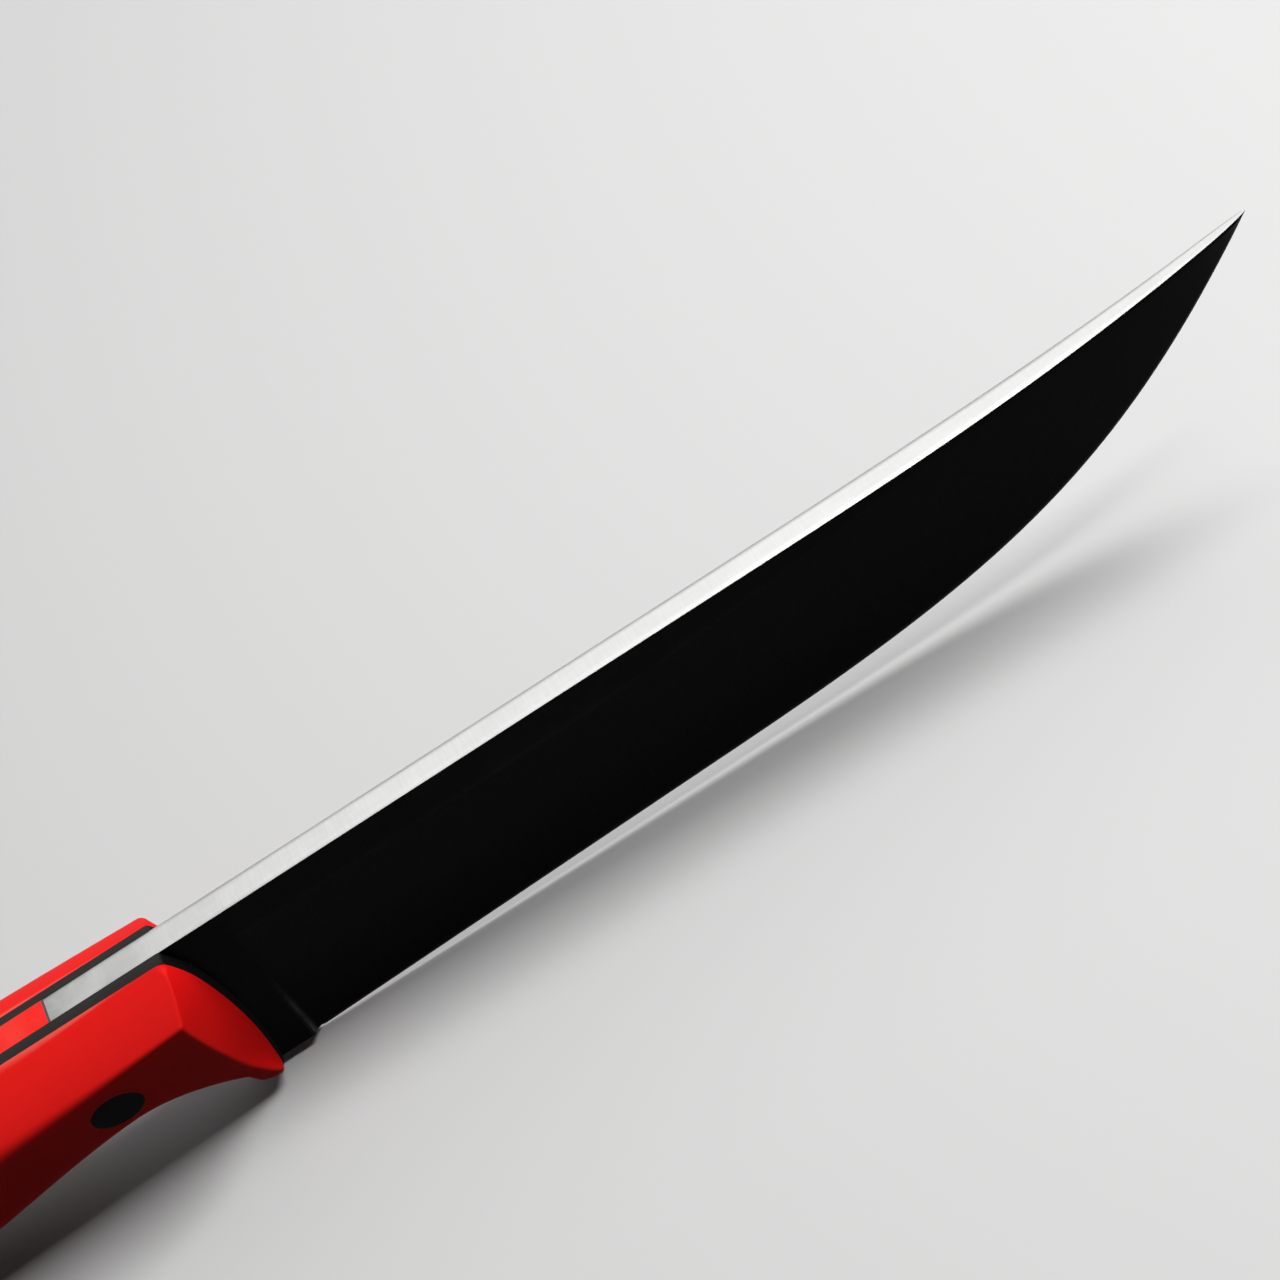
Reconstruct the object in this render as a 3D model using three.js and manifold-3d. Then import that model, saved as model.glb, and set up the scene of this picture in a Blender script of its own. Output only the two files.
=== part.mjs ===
// A fixed-blade pchak kitchen knife: one steel blade with its tang, a red frame round the tang,
// two black liners, two faceted red handle scales and two black pins through all of them.
// Millimetres. Knife axes: x runs from the front of the handle to the tip, y goes across the blade,
// z goes up from the straight part of the spine. Depths are measured down from that spine line.

import * as THREE from 'three';
import { mergeVertices } from 'three/addons/utils/BufferGeometryUtils.js';
import Module from 'manifold-3d';

const wasm = await Module();
wasm.setup();

// Blade
const bladeLength = 172.6;
const spineThickness = 4.0;
const taperStart = 100;
const taperThickness = 3.66;
const tipThickness = 0.5;
const tipHeight = 0.5;
const taperPower = 2.7;
const sweepStart = 90;
const tipRise = 5.2;
const ricassoLength = 6.3;
const ricassoDepth = 34;
const plungeWidth = 1.6;
const plungeLean = Math.tan(THREE.MathUtils.degToRad(5));
const heelStep = 1.7;
const edgeStraightEnd = 78;
const edgeStraightRise = 2.7;
const bellyFullness = 43.7;
const tipApproachRun = 29.7;
const tipApproachDrop = 31;
const grindShoulderDepth = 6.3;
const grindLevelEnd = 60;
const grindMeetsSpine = 140;
const spineLand = 0.6;
const edgeBevelHeight = 1.1;
const edgeBevelThickness = 0.5;
const pointHeightShare = 1 / 3;
const pointBevelShare = 1 / 2;

// Tang, hidden inside the frame behind its two shoulders
const spineShoulder = 17.2;
const bellyShoulder = 27;
const tangDepth = 13.9;
const tangHeight = 13;
const tangInset = 16;
const shoulderRadius = 3;
const tangEndRadius = 4;
const glueGap = 0.3;

// Layers of the handle
const linerThickness = 1.5;
const pinDiameter = 8;
const pinClearance = 0.3;
const frontPinSetback = 17.65;
const rearPinInset = 34;

// Handle outline, seen from the side; setbacks run from its front and insets from its butt
const handleLength = 124;
const topStraight = 30;
const topDropInset = 6;
const topDrop = 4;
const lipFlat = 1.2;
const lipLength = 2.7;
const lipBackRise = 1.3;
const lipBackRun = 0.6;
const grooveSetback = 18;
const grooveDepth = 21.9;
const grooveRadius = 13.7;
const swellSetback = 58;
const swellDepth = 28;
const waistInset = 34;
const waistDepth = 25.5;
const beakInset = 5;
const beakDepth = 36;
const buttRadius = 45;
const buttVertexDepth = 26;
const buttFacetSlope = 0.8;

// Handle section, seen along the knife
const crownRun = 0.95;
const ridgeHalfFront = 10.03;
const ridgeHalfSwell = 12.3;
const ridgeHalfWaist = 10.9;
const ridgeHalfButt = 12.2;
const ridgeDropFront = 6.2;
const ridgeDropButt = 7.7;
const sideTilt = THREE.MathUtils.degToRad(9.5);
const ridgeRadiusFront = 0.4;
const ridgeRadiusSwell = 3.5;
const bellyRadiusLip = 3.9;
const bellyRadiusGroove = 5;
const bellyRadiusSwell = 6.5;
const cornerWallShare = 0.45;

// Front of the handle: a shallow arc, faceted on both scales
const noseReach = 2.2;
const noseDepth = 16;
const noseRadius = 85;
const noseCornerHeight = 8;
const noseCornerSetback = 1.6;
const linerLead = 0.4;
const facetSetback = 2.55;
const facetTurnDepth = 20;
const facetSweepRadius = 20.4;

// Fineness of the curved surfaces
const cornerSteps = 4;
const bellySteps = 7;
const grooveStations = 13;
const rearStations = 26;
const plungeStations = 5;
const edgeStations = 26;
const pinSides = 40;
const outlineSteps = 8;
const cutterRowPitch = 1.1;
const rimMargin = 0.5;
const outsideMargin = 6;

const halfSteel = spineThickness / 2;
const halfLiner = halfSteel + linerThickness;
const heelDepth = ricassoDepth + heelStep;
const deepest = Math.max(beakDepth, heelDepth);
const tangLength = handleLength - tangInset;
const rearPinSetback = handleLength - rearPinInset;
const waistSetback = handleLength - waistInset;
const beakSetback = handleLength - beakInset;
const widest = Math.max(ridgeHalfFront, ridgeHalfSwell, ridgeHalfWaist, ridgeHalfButt) + outsideMargin;

const lerp = THREE.MathUtils.lerp;
const clamp = THREE.MathUtils.clamp;

// A value that passes through [x, value] knots with a level tangent at each knot.
function eased(knots, x) {
  for (let i = 1; i < knots.length; i++) {
    const [x0, value0] = knots[i - 1];
    const [x1, value1] = knots[i];
    if (x >= x1) {
      const u = clamp((x - x0) / (x1 - x0), 0, 1);
      return lerp(value0, value1, u * u * (3 - 2 * u));
    }
  }
  return knots.at(-1)[1];
}

// Six times the signed volume of an indexed surface, positive when its faces point out.
function signedVolume(points, index) {
  let sum = 0;
  for (let i = 0; i < index.length; i += 3) {
    const [a, b, c] = [points[index[i]], points[index[i + 1]], points[index[i + 2]]];
    sum += a.dot(b.clone().cross(c));
  }
  return sum;
}

// A closed skin over rings of equal count; flatten gives a ring point's place in the ring's plane.
function loft(rings, flatten) {
  const count = rings[0].length;
  const points = rings.flat();
  const index = [];
  for (let i = 0; i < rings.length - 1; i++) {
    for (let j = 0; j < count; j++) {
      const a = i * count + j;
      const b = i * count + ((j + 1) % count);
      index.push(a, a + count, b, b, a + count, b + count);
    }
  }
  const lastStart = (rings.length - 1) * count;
  for (const [start, atEnd] of [[0, false], [lastStart, true]]) {
    const outline = points.slice(start, start + count).map(flatten);
    const ringTurn = Math.sign(THREE.ShapeUtils.area(outline));
    for (const [a, b, c] of THREE.ShapeUtils.triangulateShape(outline, [])) {
      const turn = Math.sign(THREE.ShapeUtils.area([outline[a], outline[b], outline[c]]));
      const alongRing = turn === ringTurn;
      const face = alongRing === atEnd ? [a, c, b] : [a, b, c];
      index.push(...face.map((k) => k + start));
    }
  }
  if (signedVolume(points, index) < 0) index.reverse();
  const geometry = new THREE.BufferGeometry().setFromPoints(points);
  geometry.setIndex(index);
  return geometry;
}

// A closed geometry as a solid that can be joined and cut.
function solid(geometry) {
  const bare = geometry.clone();
  bare.deleteAttribute('normal');
  bare.deleteAttribute('uv');
  const merged = mergeVertices(bare);
  return new wasm.Manifold(new wasm.Mesh({
    numProp: 3,
    vertProperties: new Float32Array(merged.attributes.position.array),
    triVerts: new Uint32Array(merged.index.array),
  }));
}

function geometryOf(body) {
  const { vertProperties, triVerts } = body.getMesh();
  const geometry = new THREE.BufferGeometry();
  geometry.setAttribute('position', new THREE.BufferAttribute(new Float32Array(vertProperties), 3));
  geometry.setIndex(new THREE.BufferAttribute(new Uint32Array(triVerts), 1));
  geometry.computeVertexNormals();
  return geometry;
}

// Everything between two planes across the knife.
function layer(yLow, yHigh) {
  const length = bladeLength + handleLength + 2 * outsideMargin;
  const height = 2 * (deepest + tipRise + outsideMargin);
  const box = new THREE.BoxGeometry(length, yHigh - yLow, height);
  box.translate((bladeLength - handleLength) / 2, (yLow + yHigh) / 2, 0);
  return solid(box);
}

// An outline in x and z carried across the knife, wide enough to cut right through it.
function across(shape) {
  const prism = new THREE.ExtrudeGeometry(shape, {
    depth: 2 * widest,
    bevelEnabled: false,
    curveSegments: outlineSteps,
  });
  prism.rotateX(Math.PI / 2);
  prism.translate(0, widest, 0);
  return solid(prism);
}

// Blade profiles
function spineHeight(x) {
  const u = clamp((x - sweepStart) / (bladeLength - sweepStart), 0, 1);
  return tipRise * u ** 3;
}

function thicknessAt(x) {
  const v = clamp((x - ricassoLength) / (taperStart - ricassoLength), 0, 1);
  if (x < taperStart) return lerp(spineThickness, taperThickness, v);
  const u = clamp((x - taperStart) / (bladeLength - taperStart), 0, 1);
  return lerp(taperThickness, tipThickness, u ** taperPower);
}

function grindShoulderAt(x) {
  return eased([[grindMeetsSpine, spineLand], [grindLevelEnd, grindShoulderDepth]], x);
}

// The cutting edge: straight from the heel, then one sweep up into the point.
function edgePath() {
  const heel = new THREE.Vector2(ricassoLength + plungeWidth, -heelDepth);
  const turn = new THREE.Vector2(edgeStraightEnd, -heelDepth + edgeStraightRise);
  const along = turn.clone().sub(heel).normalize();
  const point = new THREE.Vector2(bladeLength, tipRise - tipHeight);
  const path = new THREE.CurvePath();
  path.add(new THREE.LineCurve(heel, turn));
  path.add(new THREE.CubicBezierCurve(
    turn,
    turn.clone().addScaledVector(along, bellyFullness),
    point.clone().sub(new THREE.Vector2(tipApproachRun, tipApproachDrop)),
    point,
  ));
  return path;
}

// One blade section: spine corner, grind shoulder and bevel on each side, and the edge between.
// Wedge goes from 0, a plain slab, to 1, the full grind; lean carries the upper points forward.
// Near the point the flat and the bevel shrink to shares of the height and thickness left there.
function bladeRing(x, edgeZ, wedge, lean) {
  const top = spineHeight(x);
  const half = thicknessAt(x) / 2;
  const share = (top - edgeZ) * pointHeightShare;
  const shoulderZ = top - Math.min(grindShoulderAt(x), share);
  const bevelZ = edgeZ + Math.min(edgeBevelHeight, share) * wedge;
  const bevelHalf = lerp(half, Math.min(edgeBevelThickness / 2, half * pointBevelShare), wedge);
  const side = [[half, top], [half, shoulderZ], [bevelHalf, bevelZ]];
  const loop = [...side, [0, edgeZ], ...side.toReversed().map(([y, z]) => [-y, z])];
  return loop.map(([y, z]) => new THREE.Vector3(x + (z - edgeZ) * lean, y, z));
}

function bladeSolid() {
  const rings = [
    bladeRing(-lipFlat, -ricassoDepth, 0, 0),
    bladeRing(ricassoLength, -ricassoDepth, 0, plungeLean),
  ];
  for (let i = 1; i < plungeStations; i++) {
    const u = i / plungeStations;
    const hollow = Math.sqrt(1 - (1 - u) ** 2);
    const floor = -lerp(ricassoDepth, heelDepth, hollow);
    rings.push(bladeRing(ricassoLength + u * plungeWidth, floor, hollow, plungeLean));
  }
  const [heel, ...edge] = edgePath().getSpacedPoints(edgeStations);
  rings.push(bladeRing(heel.x, heel.y, 1, plungeLean));
  for (const { x, y } of edge) rings.push(bladeRing(x, y, 1, 0));
  return solid(loft(rings, (p) => new THREE.Vector2(p.y, p.z)));
}

// Handle profiles; x is negative behind the front of the handle.
function topLine(x) {
  return eased([[-topStraight, 0], [topDropInset - handleLength, -topDrop]], x);
}

function bellyLine(x) {
  if (x >= -lipFlat) return -ricassoDepth;
  if (x >= -lipLength) return -ricassoDepth + lipBackRise * (x + lipFlat) / (lipFlat - lipLength);
  if (x >= -grooveSetback) return -grooveDepth - (x + grooveSetback) ** 2 / (2 * grooveRadius);
  return eased([
    [-grooveSetback, -grooveDepth],
    [-swellSetback, -swellDepth],
    [-waistSetback, -waistDepth],
    [-beakSetback, -beakDepth],
  ], x);
}

function ridgeHalf(x) {
  if (x >= -swellSetback) {
    const u = -x / swellSetback;
    return lerp(ridgeHalfFront, ridgeHalfSwell, Math.sin(u * Math.PI / 2));
  }
  return eased([
    [-swellSetback, ridgeHalfSwell],
    [-waistSetback, ridgeHalfWaist],
    [-handleLength, ridgeHalfButt],
  ], x);
}

function ridgeLine(x) {
  return topLine(x) - lerp(ridgeDropFront, ridgeDropButt, -x / handleLength);
}

function sideHalf(x, z) {
  return ridgeHalf(x) - (ridgeLine(x) - z) * Math.tan(sideTilt);
}

function ridgeRadius(x) {
  return eased([[0, ridgeRadiusFront], [-swellSetback, ridgeRadiusSwell]], x);
}

function bellyRadius(x) {
  return eased([
    [0, bellyRadiusLip],
    [-grooveSetback, bellyRadiusGroove],
    [-swellSetback, bellyRadiusSwell],
  ], x);
}

// Points along the arc that rounds one corner of an outline, the radius limited by its two walls.
function roundedCorner(before, corner, after, radius, steps) {
  const arriving = corner.clone().sub(before);
  const leaving = after.clone().sub(corner);
  const room = cornerWallShare * Math.min(arriving.length(), leaving.length());
  arriving.normalize();
  leaving.normalize();
  const turn = Math.atan2(arriving.cross(leaving), arriving.dot(leaving));
  const reach = Math.min(radius * Math.tan(Math.abs(turn) / 2), room);
  const start = corner.clone().addScaledVector(arriving, -reach);
  const towardCentre = new THREE.Vector2(-arriving.y, arriving.x).multiplyScalar(Math.sign(turn));
  const arcRadius = reach / Math.tan(Math.abs(turn) / 2);
  const centre = start.clone().addScaledVector(towardCentre, arcRadius);
  const points = [];
  for (let i = 0; i <= steps; i++) points.push(start.clone().rotateAround(centre, turn * i / steps));
  return points;
}

// One handle section: flat steel top, crown over the liners, upper facet, ridge, leaning side, round belly.
function handleRing(x) {
  const top = new THREE.Vector2(0, topLine(x));
  const crown = new THREE.Vector2(halfSteel + crownRun, top.y);
  const ridge = new THREE.Vector2(ridgeHalf(x), ridgeLine(x));
  const floor = bellyLine(x);
  const heel = new THREE.Vector2(sideHalf(x, floor), floor);
  const keel = new THREE.Vector2(0, floor);
  const facetAngle = Math.atan2(crown.y - ridge.y, ridge.x - crown.x);
  const crownRadius = crownRun / Math.tan(facetAngle / 2);
  const side = [
    ...roundedCorner(top, crown, ridge, crownRadius, cornerSteps),
    ...roundedCorner(crown, ridge, heel, ridgeRadius(x), cornerSteps),
    ...roundedCorner(ridge, heel, keel, bellyRadius(x), bellySteps),
  ];
  const farSide = side.toReversed().map((p) => new THREE.Vector2(-p.x, p.y));
  return [...side, ...farSide].map((p) => new THREE.Vector3(x, p.x, p.y));
}

function handleStations() {
  const grooveStart = -lipLength - lipBackRun;
  const xs = [outsideMargin, -lipFlat, -lipLength, grooveStart];
  for (let i = 1; i <= grooveStations; i++) xs.push(lerp(grooveStart, -grooveSetback, i / grooveStations));
  const rear = -handleLength - outsideMargin;
  for (let i = 1; i <= rearStations; i++) xs.push(lerp(-grooveSetback, rear, i / rearStations));
  return xs;
}

// Front of the handle, as x at a depth: a shallow arc with a broken corner at the spine.
function noseLine(depth) {
  const arc = noseReach - noseRadius + Math.sqrt(noseRadius ** 2 - (depth - noseDepth) ** 2);
  const corner = clamp((noseCornerHeight - depth) / noseCornerHeight, 0, 1);
  return arc - noseCornerSetback * corner ** 2;
}

// Setback per millimetre of width that takes the front facet from the liner to its edge on the side.
function noseFacetSlope(depth) {
  const facetDepth = Math.max(depth, ridgeDropFront);
  const sweep = Math.max(0, facetDepth - facetTurnDepth) ** 2 / (2 * facetSweepRadius);
  const edge = -facetSetback + sweep;
  const width = sideHalf(edge, -facetDepth) - halfLiner;
  return Math.max(0, (noseLine(depth) - edge) / Math.max(width, linerThickness));
}

function buttLine(depth) {
  return -handleLength + (depth - buttVertexDepth) ** 2 / (2 * buttRadius);
}

// What is ground away from one end of the handle: faceted on the scales, and nearly square on the
// liners, which lead the scales by a little where they meet the steel. Outside the rim it flares.
function endCutter(lineAt, slopeAt, middleDepth, lead, direction) {
  const rows = Math.ceil((deepest + outsideMargin) / cutterRowPitch);
  const outside = direction > 0 ? 2 * outsideMargin : -handleLength - 2 * outsideMargin;
  const rings = [];
  for (let i = -rows; i <= rows; i++) {
    const depth = middleDepth + i * cutterRowPitch;
    if (depth < -outsideMargin || depth > deepest + outsideMargin) continue;
    const end = lineAt(depth);
    const side = clamp(sideHalf(end, -depth), halfLiner, ridgeHalf(end));
    const rim = side + rimMargin;
    const facetAt = (y) => end - direction * (y - halfLiner) * slopeAt(depth);
    const outline = [
      [end + direction * lead, halfSteel],
      [end, halfLiner],
      [facetAt(rim), rim],
      [facetAt(widest) - direction * outsideMargin, widest],
      [outside, widest],
    ];
    const ring = outline.map(([x, y]) => new THREE.Vector3(x, y, -depth));
    ring.push(...outline.toReversed().map(([x, y]) => new THREE.Vector3(x, -y, -depth)));
    rings.push(ring);
  }
  return solid(loft(rings, (p) => new THREE.Vector2(p.x, p.y)));
}

// The whole handle as if it were one block, before it is divided into its layers.
function handleBlock() {
  const skin = loft(handleStations().map(handleRing), (p) => new THREE.Vector2(p.y, p.z));
  const nose = endCutter(noseLine, noseFacetSlope, noseDepth, linerLead, 1);
  const butt = endCutter(buttLine, () => buttFacetSlope, buttVertexDepth, 0, -1);
  return solid(skin).subtract(nose).subtract(butt);
}

// Side outline of the steel inside the handle, grown all round by a gap.
function tangShape(gap) {
  const above = outsideMargin;
  const below = -deepest - outsideMargin;
  const top = -tangDepth + tangHeight / 2 + gap;
  const bottom = -tangDepth - tangHeight / 2 - gap;
  const end = -tangLength - gap;
  const inner = shoulderRadius - gap;
  const outer = tangEndRadius + gap;
  const shape = new THREE.Shape();
  shape.moveTo(outsideMargin, above);
  shape.lineTo(-spineShoulder - gap, above);
  shape.lineTo(-spineShoulder - gap, top + inner);
  shape.absarc(-spineShoulder - gap - inner, top + inner, inner, 0, -Math.PI / 2, true);
  shape.lineTo(end + outer, top);
  shape.absarc(end + outer, top - outer, outer, Math.PI / 2, Math.PI, false);
  shape.lineTo(end, bottom + outer);
  shape.absarc(end + outer, bottom + outer, outer, Math.PI, Math.PI * 1.5, false);
  shape.lineTo(-bellyShoulder - gap - inner, bottom);
  shape.absarc(-bellyShoulder - gap - inner, bottom - inner, inner, Math.PI / 2, 0, true);
  shape.lineTo(-bellyShoulder - gap, below);
  shape.lineTo(outsideMargin, below);
  shape.closePath();
  return shape;
}

function pinRod(setback, radius) {
  const rod = new THREE.CylinderGeometry(radius, radius, 2 * widest, pinSides);
  rod.translate(-setback, 0, -tangDepth);
  return solid(rod);
}

const pinSetbacks = { front_pin: frontPinSetback, rear_pin: rearPinSetback };
const block = handleBlock();
const pinHoles = Object.values(pinSetbacks)
  .map((setback) => pinRod(setback, pinDiameter / 2 + pinClearance))
  .reduce((joined, hole) => joined.add(hole));
const drilled = block.subtract(pinHoles);
const core = drilled.intersect(layer(-halfSteel, halfSteel));

const steel = { color: 0x17171a, roughness: 0.34, metalness: 0.9 };
const red = { color: 0xd51a16, roughness: 0.62, metalness: 0 };
const black = { color: 0x2b2828, roughness: 0.58, metalness: 0 };
const pinBlack = { color: 0x0b0b0c, roughness: 0.45, metalness: 0 };

const knife = new THREE.Group();

function addPiece(name, body, finish) {
  const mesh = new THREE.Mesh(geometryOf(body), new THREE.MeshStandardMaterial(finish));
  mesh.name = name;
  knife.add(mesh);
}

addPiece('blade', core.intersect(across(tangShape(0))).add(bladeSolid()), steel);
addPiece('tang_frame', core.subtract(across(tangShape(glueGap))), red);
addPiece('liner_right', drilled.intersect(layer(-halfLiner, -halfSteel)), black);
addPiece('liner_left', drilled.intersect(layer(halfSteel, halfLiner)), black);
addPiece('scale_right', drilled.intersect(layer(-widest, -halfLiner)), red);
addPiece('scale_left', drilled.intersect(layer(halfLiner, widest)), red);
for (const [name, setback] of Object.entries(pinSetbacks)) {
  addPiece(name, block.intersect(pinRod(setback, pinDiameter / 2)), pinBlack);
}

// The origin is under the middle of the knife, level with its lowest point.
knife.position.set((handleLength - bladeLength) / 2, 0, deepest);

export default knife;
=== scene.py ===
"""A fixed-blade pchak kitchen knife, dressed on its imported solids.

The knife stands on its edge with the spine up. Profiles are worked out in knife places, in metres:
x runs from the front of the handle to the tip, y across the blade and z up from the straight spine.
"""

import math

import bmesh
import bpy
import numpy as np
from bpy.props import FloatProperty, FloatVectorProperty, PointerProperty
from mathutils import Matrix, Vector


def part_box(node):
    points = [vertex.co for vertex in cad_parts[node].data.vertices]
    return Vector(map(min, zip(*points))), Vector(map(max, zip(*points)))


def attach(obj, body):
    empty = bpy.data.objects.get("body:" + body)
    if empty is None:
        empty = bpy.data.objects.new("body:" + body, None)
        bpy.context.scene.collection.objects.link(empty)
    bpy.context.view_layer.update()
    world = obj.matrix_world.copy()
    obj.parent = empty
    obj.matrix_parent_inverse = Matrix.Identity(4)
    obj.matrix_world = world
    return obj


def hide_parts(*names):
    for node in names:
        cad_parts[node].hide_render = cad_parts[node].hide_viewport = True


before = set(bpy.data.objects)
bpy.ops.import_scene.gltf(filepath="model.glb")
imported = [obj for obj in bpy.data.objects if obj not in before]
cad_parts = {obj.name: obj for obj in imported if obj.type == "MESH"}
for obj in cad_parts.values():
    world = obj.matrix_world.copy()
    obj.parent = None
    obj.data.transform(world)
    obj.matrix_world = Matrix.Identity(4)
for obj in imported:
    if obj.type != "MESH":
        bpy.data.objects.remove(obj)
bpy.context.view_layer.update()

bl_info = {
    "name": "Pchak Kitchen Knife",
    "version": (1, 0, 0),
    "blender": (4, 5, 0),
    "location": "3D View > Sidebar > Knife",
    "description": "Builds a pchak knife: ground blade, red scales, black liners and flush pins",
    "category": "Add Mesh",
}

MM = 0.001
BODY = "root"
SIDES = {"right": -1, "left": 1}

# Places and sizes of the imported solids
TIP_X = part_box("blade")[1].x
SPINE_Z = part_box("tang_frame")[1].z
HALF_STEEL, HALF_LINER = [corner.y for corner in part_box("liner_left")]

# Rows and columns of the surfaces
RICASSO_ROWS = 14
PLUNGE_ROWS = 20
STRAIGHT_EDGE_ROWS = 70
CURVED_EDGE_ROWS = 190
BLADE_COLUMNS = (5, 5, 8, 34, 5)
SKIN_ROWS = 230
SKIN_COLUMNS = (4, 16, 14, 26, 22)
SKIN_STRETCHES = len(SKIN_COLUMNS)
SKIN_CROWDING = 0.86
NOSE_FACET_ROWS = 18
BUTT_FACET_ROWS = 14
BROKEN_EDGE_ROWS = 9
CREASE_ROUNDS = 40
BELLY_SAMPLES = 9
CORNER_POINTS = 9
GLUE_POINTS = 9
TANG_RUN_POINTS = 70
FRAME_RUN_POINTS = 90
FRAME_BUTT_POINTS = 40
SLAB_ROLL_COLUMNS = 5
LINER_LONG_ROWS = 240
LINER_END_ROWS = 50
LINER_COLUMNS = 9
LINER_CROWDING = 1.5
SECTION_SAMPLES = 260
PIN_RINGS = 16
PIN_SIDES = 96

# Shares and limits of the shapes
BARE_STRETCHES = 2
RIDGE_WALL_SHARE = 0.4
BELLY_WALL_SHARE = 0.45
FACET_BREAK_SHARE = 0.7
PIN_RIM_LIFTS = (0.4, -8)
LEVEL_TOLERANCE = 0.01 * MM
MERGE_DISTANCE = 0.0005 * MM
SHARP_ANGLE = math.radians(28)
BLADE_SHARP_ANGLE = math.radians(24)


# Properties

def size(name, description, millimetres):
    """A length that a user may change, with its default in millimetres."""
    return FloatProperty(name=name, description=description, default=millimetres * MM,
                         unit="LENGTH", precision=5)


def angle(name, description, degrees):
    """An angle that a user may change, with its default in degrees."""
    return FloatProperty(name=name, description=description, default=math.radians(degrees),
                         subtype="ANGLE")


def number(name, description, value):
    """A plain number that a user may change."""
    return FloatProperty(name=name, description=description, default=value, precision=4)


def colour(name, description, value):
    """A linear colour that a user may change."""
    return FloatVectorProperty(name=name, description=description, default=value,
                               subtype="COLOR", size=3, min=0, max=1)


class KnifeBlade(bpy.types.PropertyGroup):
    """Sizes of the blade, measured from the front of the handle and down from the spine."""

    length: size("Length", "From the front of the handle to the tip", 172.6)
    taper_start: size("Taper Start", "Where the spine begins to thin to the tip", 100)
    taper_thickness: size("Taper Thickness", "Thickness where the tip's taper begins", 3.66)
    tip_thickness: size("Tip Thickness", "Thickness that the taper leads to at the tip", 0.95)
    tip_round: size("Tip Round", "Length over which the spine closes to the point", 6.6)
    tip_closed: number("Tip Closed", "How far the spine closes at the point", 0.95)
    tip_height: size("Tip Height", "Height at the point", 0.2)
    taper_power: number("Taper Power", "How late the tip's taper comes", 2.3)
    sweep_start: size("Sweep Start", "Where the spine begins to rise", 90)
    tip_rise: size("Tip Rise", "How far the tip stands above the straight spine", 5.2)
    ricasso_length: size("Ricasso Length", "Unground steel in front of the handle", 6.3)
    ricasso_depth: size("Ricasso Depth", "Depth of the unground steel", 34)
    plunge_width: size("Plunge Width", "Length of the step into the grind", 1.6)
    # These sizes place a highlight painted into the dark steel's colour along the plunge and the grind's
    # shoulder.
    plunge_highlight_height: size("Plunge Highlight Height", "Height of the rubbed part of the plunge", 20)
    plunge_highlight_width: size("Plunge Highlight Width", "Half width of the plunge's rubbed line", 0.288)
    plunge_lean: angle("Plunge Lean", "Forward lean of the plunge line", 5)
    heel_step: size("Heel Step", "How far the heel stands below the ricasso", 1.7)
    straight_end: size("Straight End", "Where the edge stops being straight", 78)
    straight_rise: size("Straight Rise", "How far the straight edge climbs", 2.7)
    belly_fullness: size("Belly Fullness", "How far the edge carries on before it turns up", 43.7)
    approach_run: size("Approach Run", "Length of the edge's straight run into the tip", 29.7)
    approach_drop: size("Approach Drop", "Height of the edge's straight run into the tip", 31)
    shoulder_depth: size("Shoulder Depth", "Depth of the flat above the grind", 6.3)
    shoulder_level_end: size("Shoulder Level End", "Where the grind begins to climb", 60)
    shoulder_meets_spine: size("Shoulder Meets Spine", "Where the grind reaches the spine", 140)
    shoulder_highlight: number("Shoulder Highlight", "How far the grind's shoulder is rubbed bright", 0.28)
    shoulder_highlight_heel: number("Shoulder Highlight, Heel", "Share of that rub left at the ricasso", 0.4)
    shoulder_highlight_width: size("Shoulder Highlight Width", "Half width of the shoulder's rubbed line", 0.5)
    spine_land: size("Spine Land", "Depth of the flat left near the tip", 0.6)
    bevel_height: size("Bevel Height", "Height of the sharpened bevel", 0.6)
    bevel_thickness: size("Bevel Thickness", "Thickness behind the edge", 0.36)
    spine_roll: size("Spine Roll", "Width of the rolled-off strip at each side of the spine", 0.8)
    spine_roll_drop: size("Spine Roll Drop", "How far the rolled-off strip falls", 0.11)
    tang_roll_drop: size("Tang Roll Drop", "How far the strip falls on the handle's top", 0.07)


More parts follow.
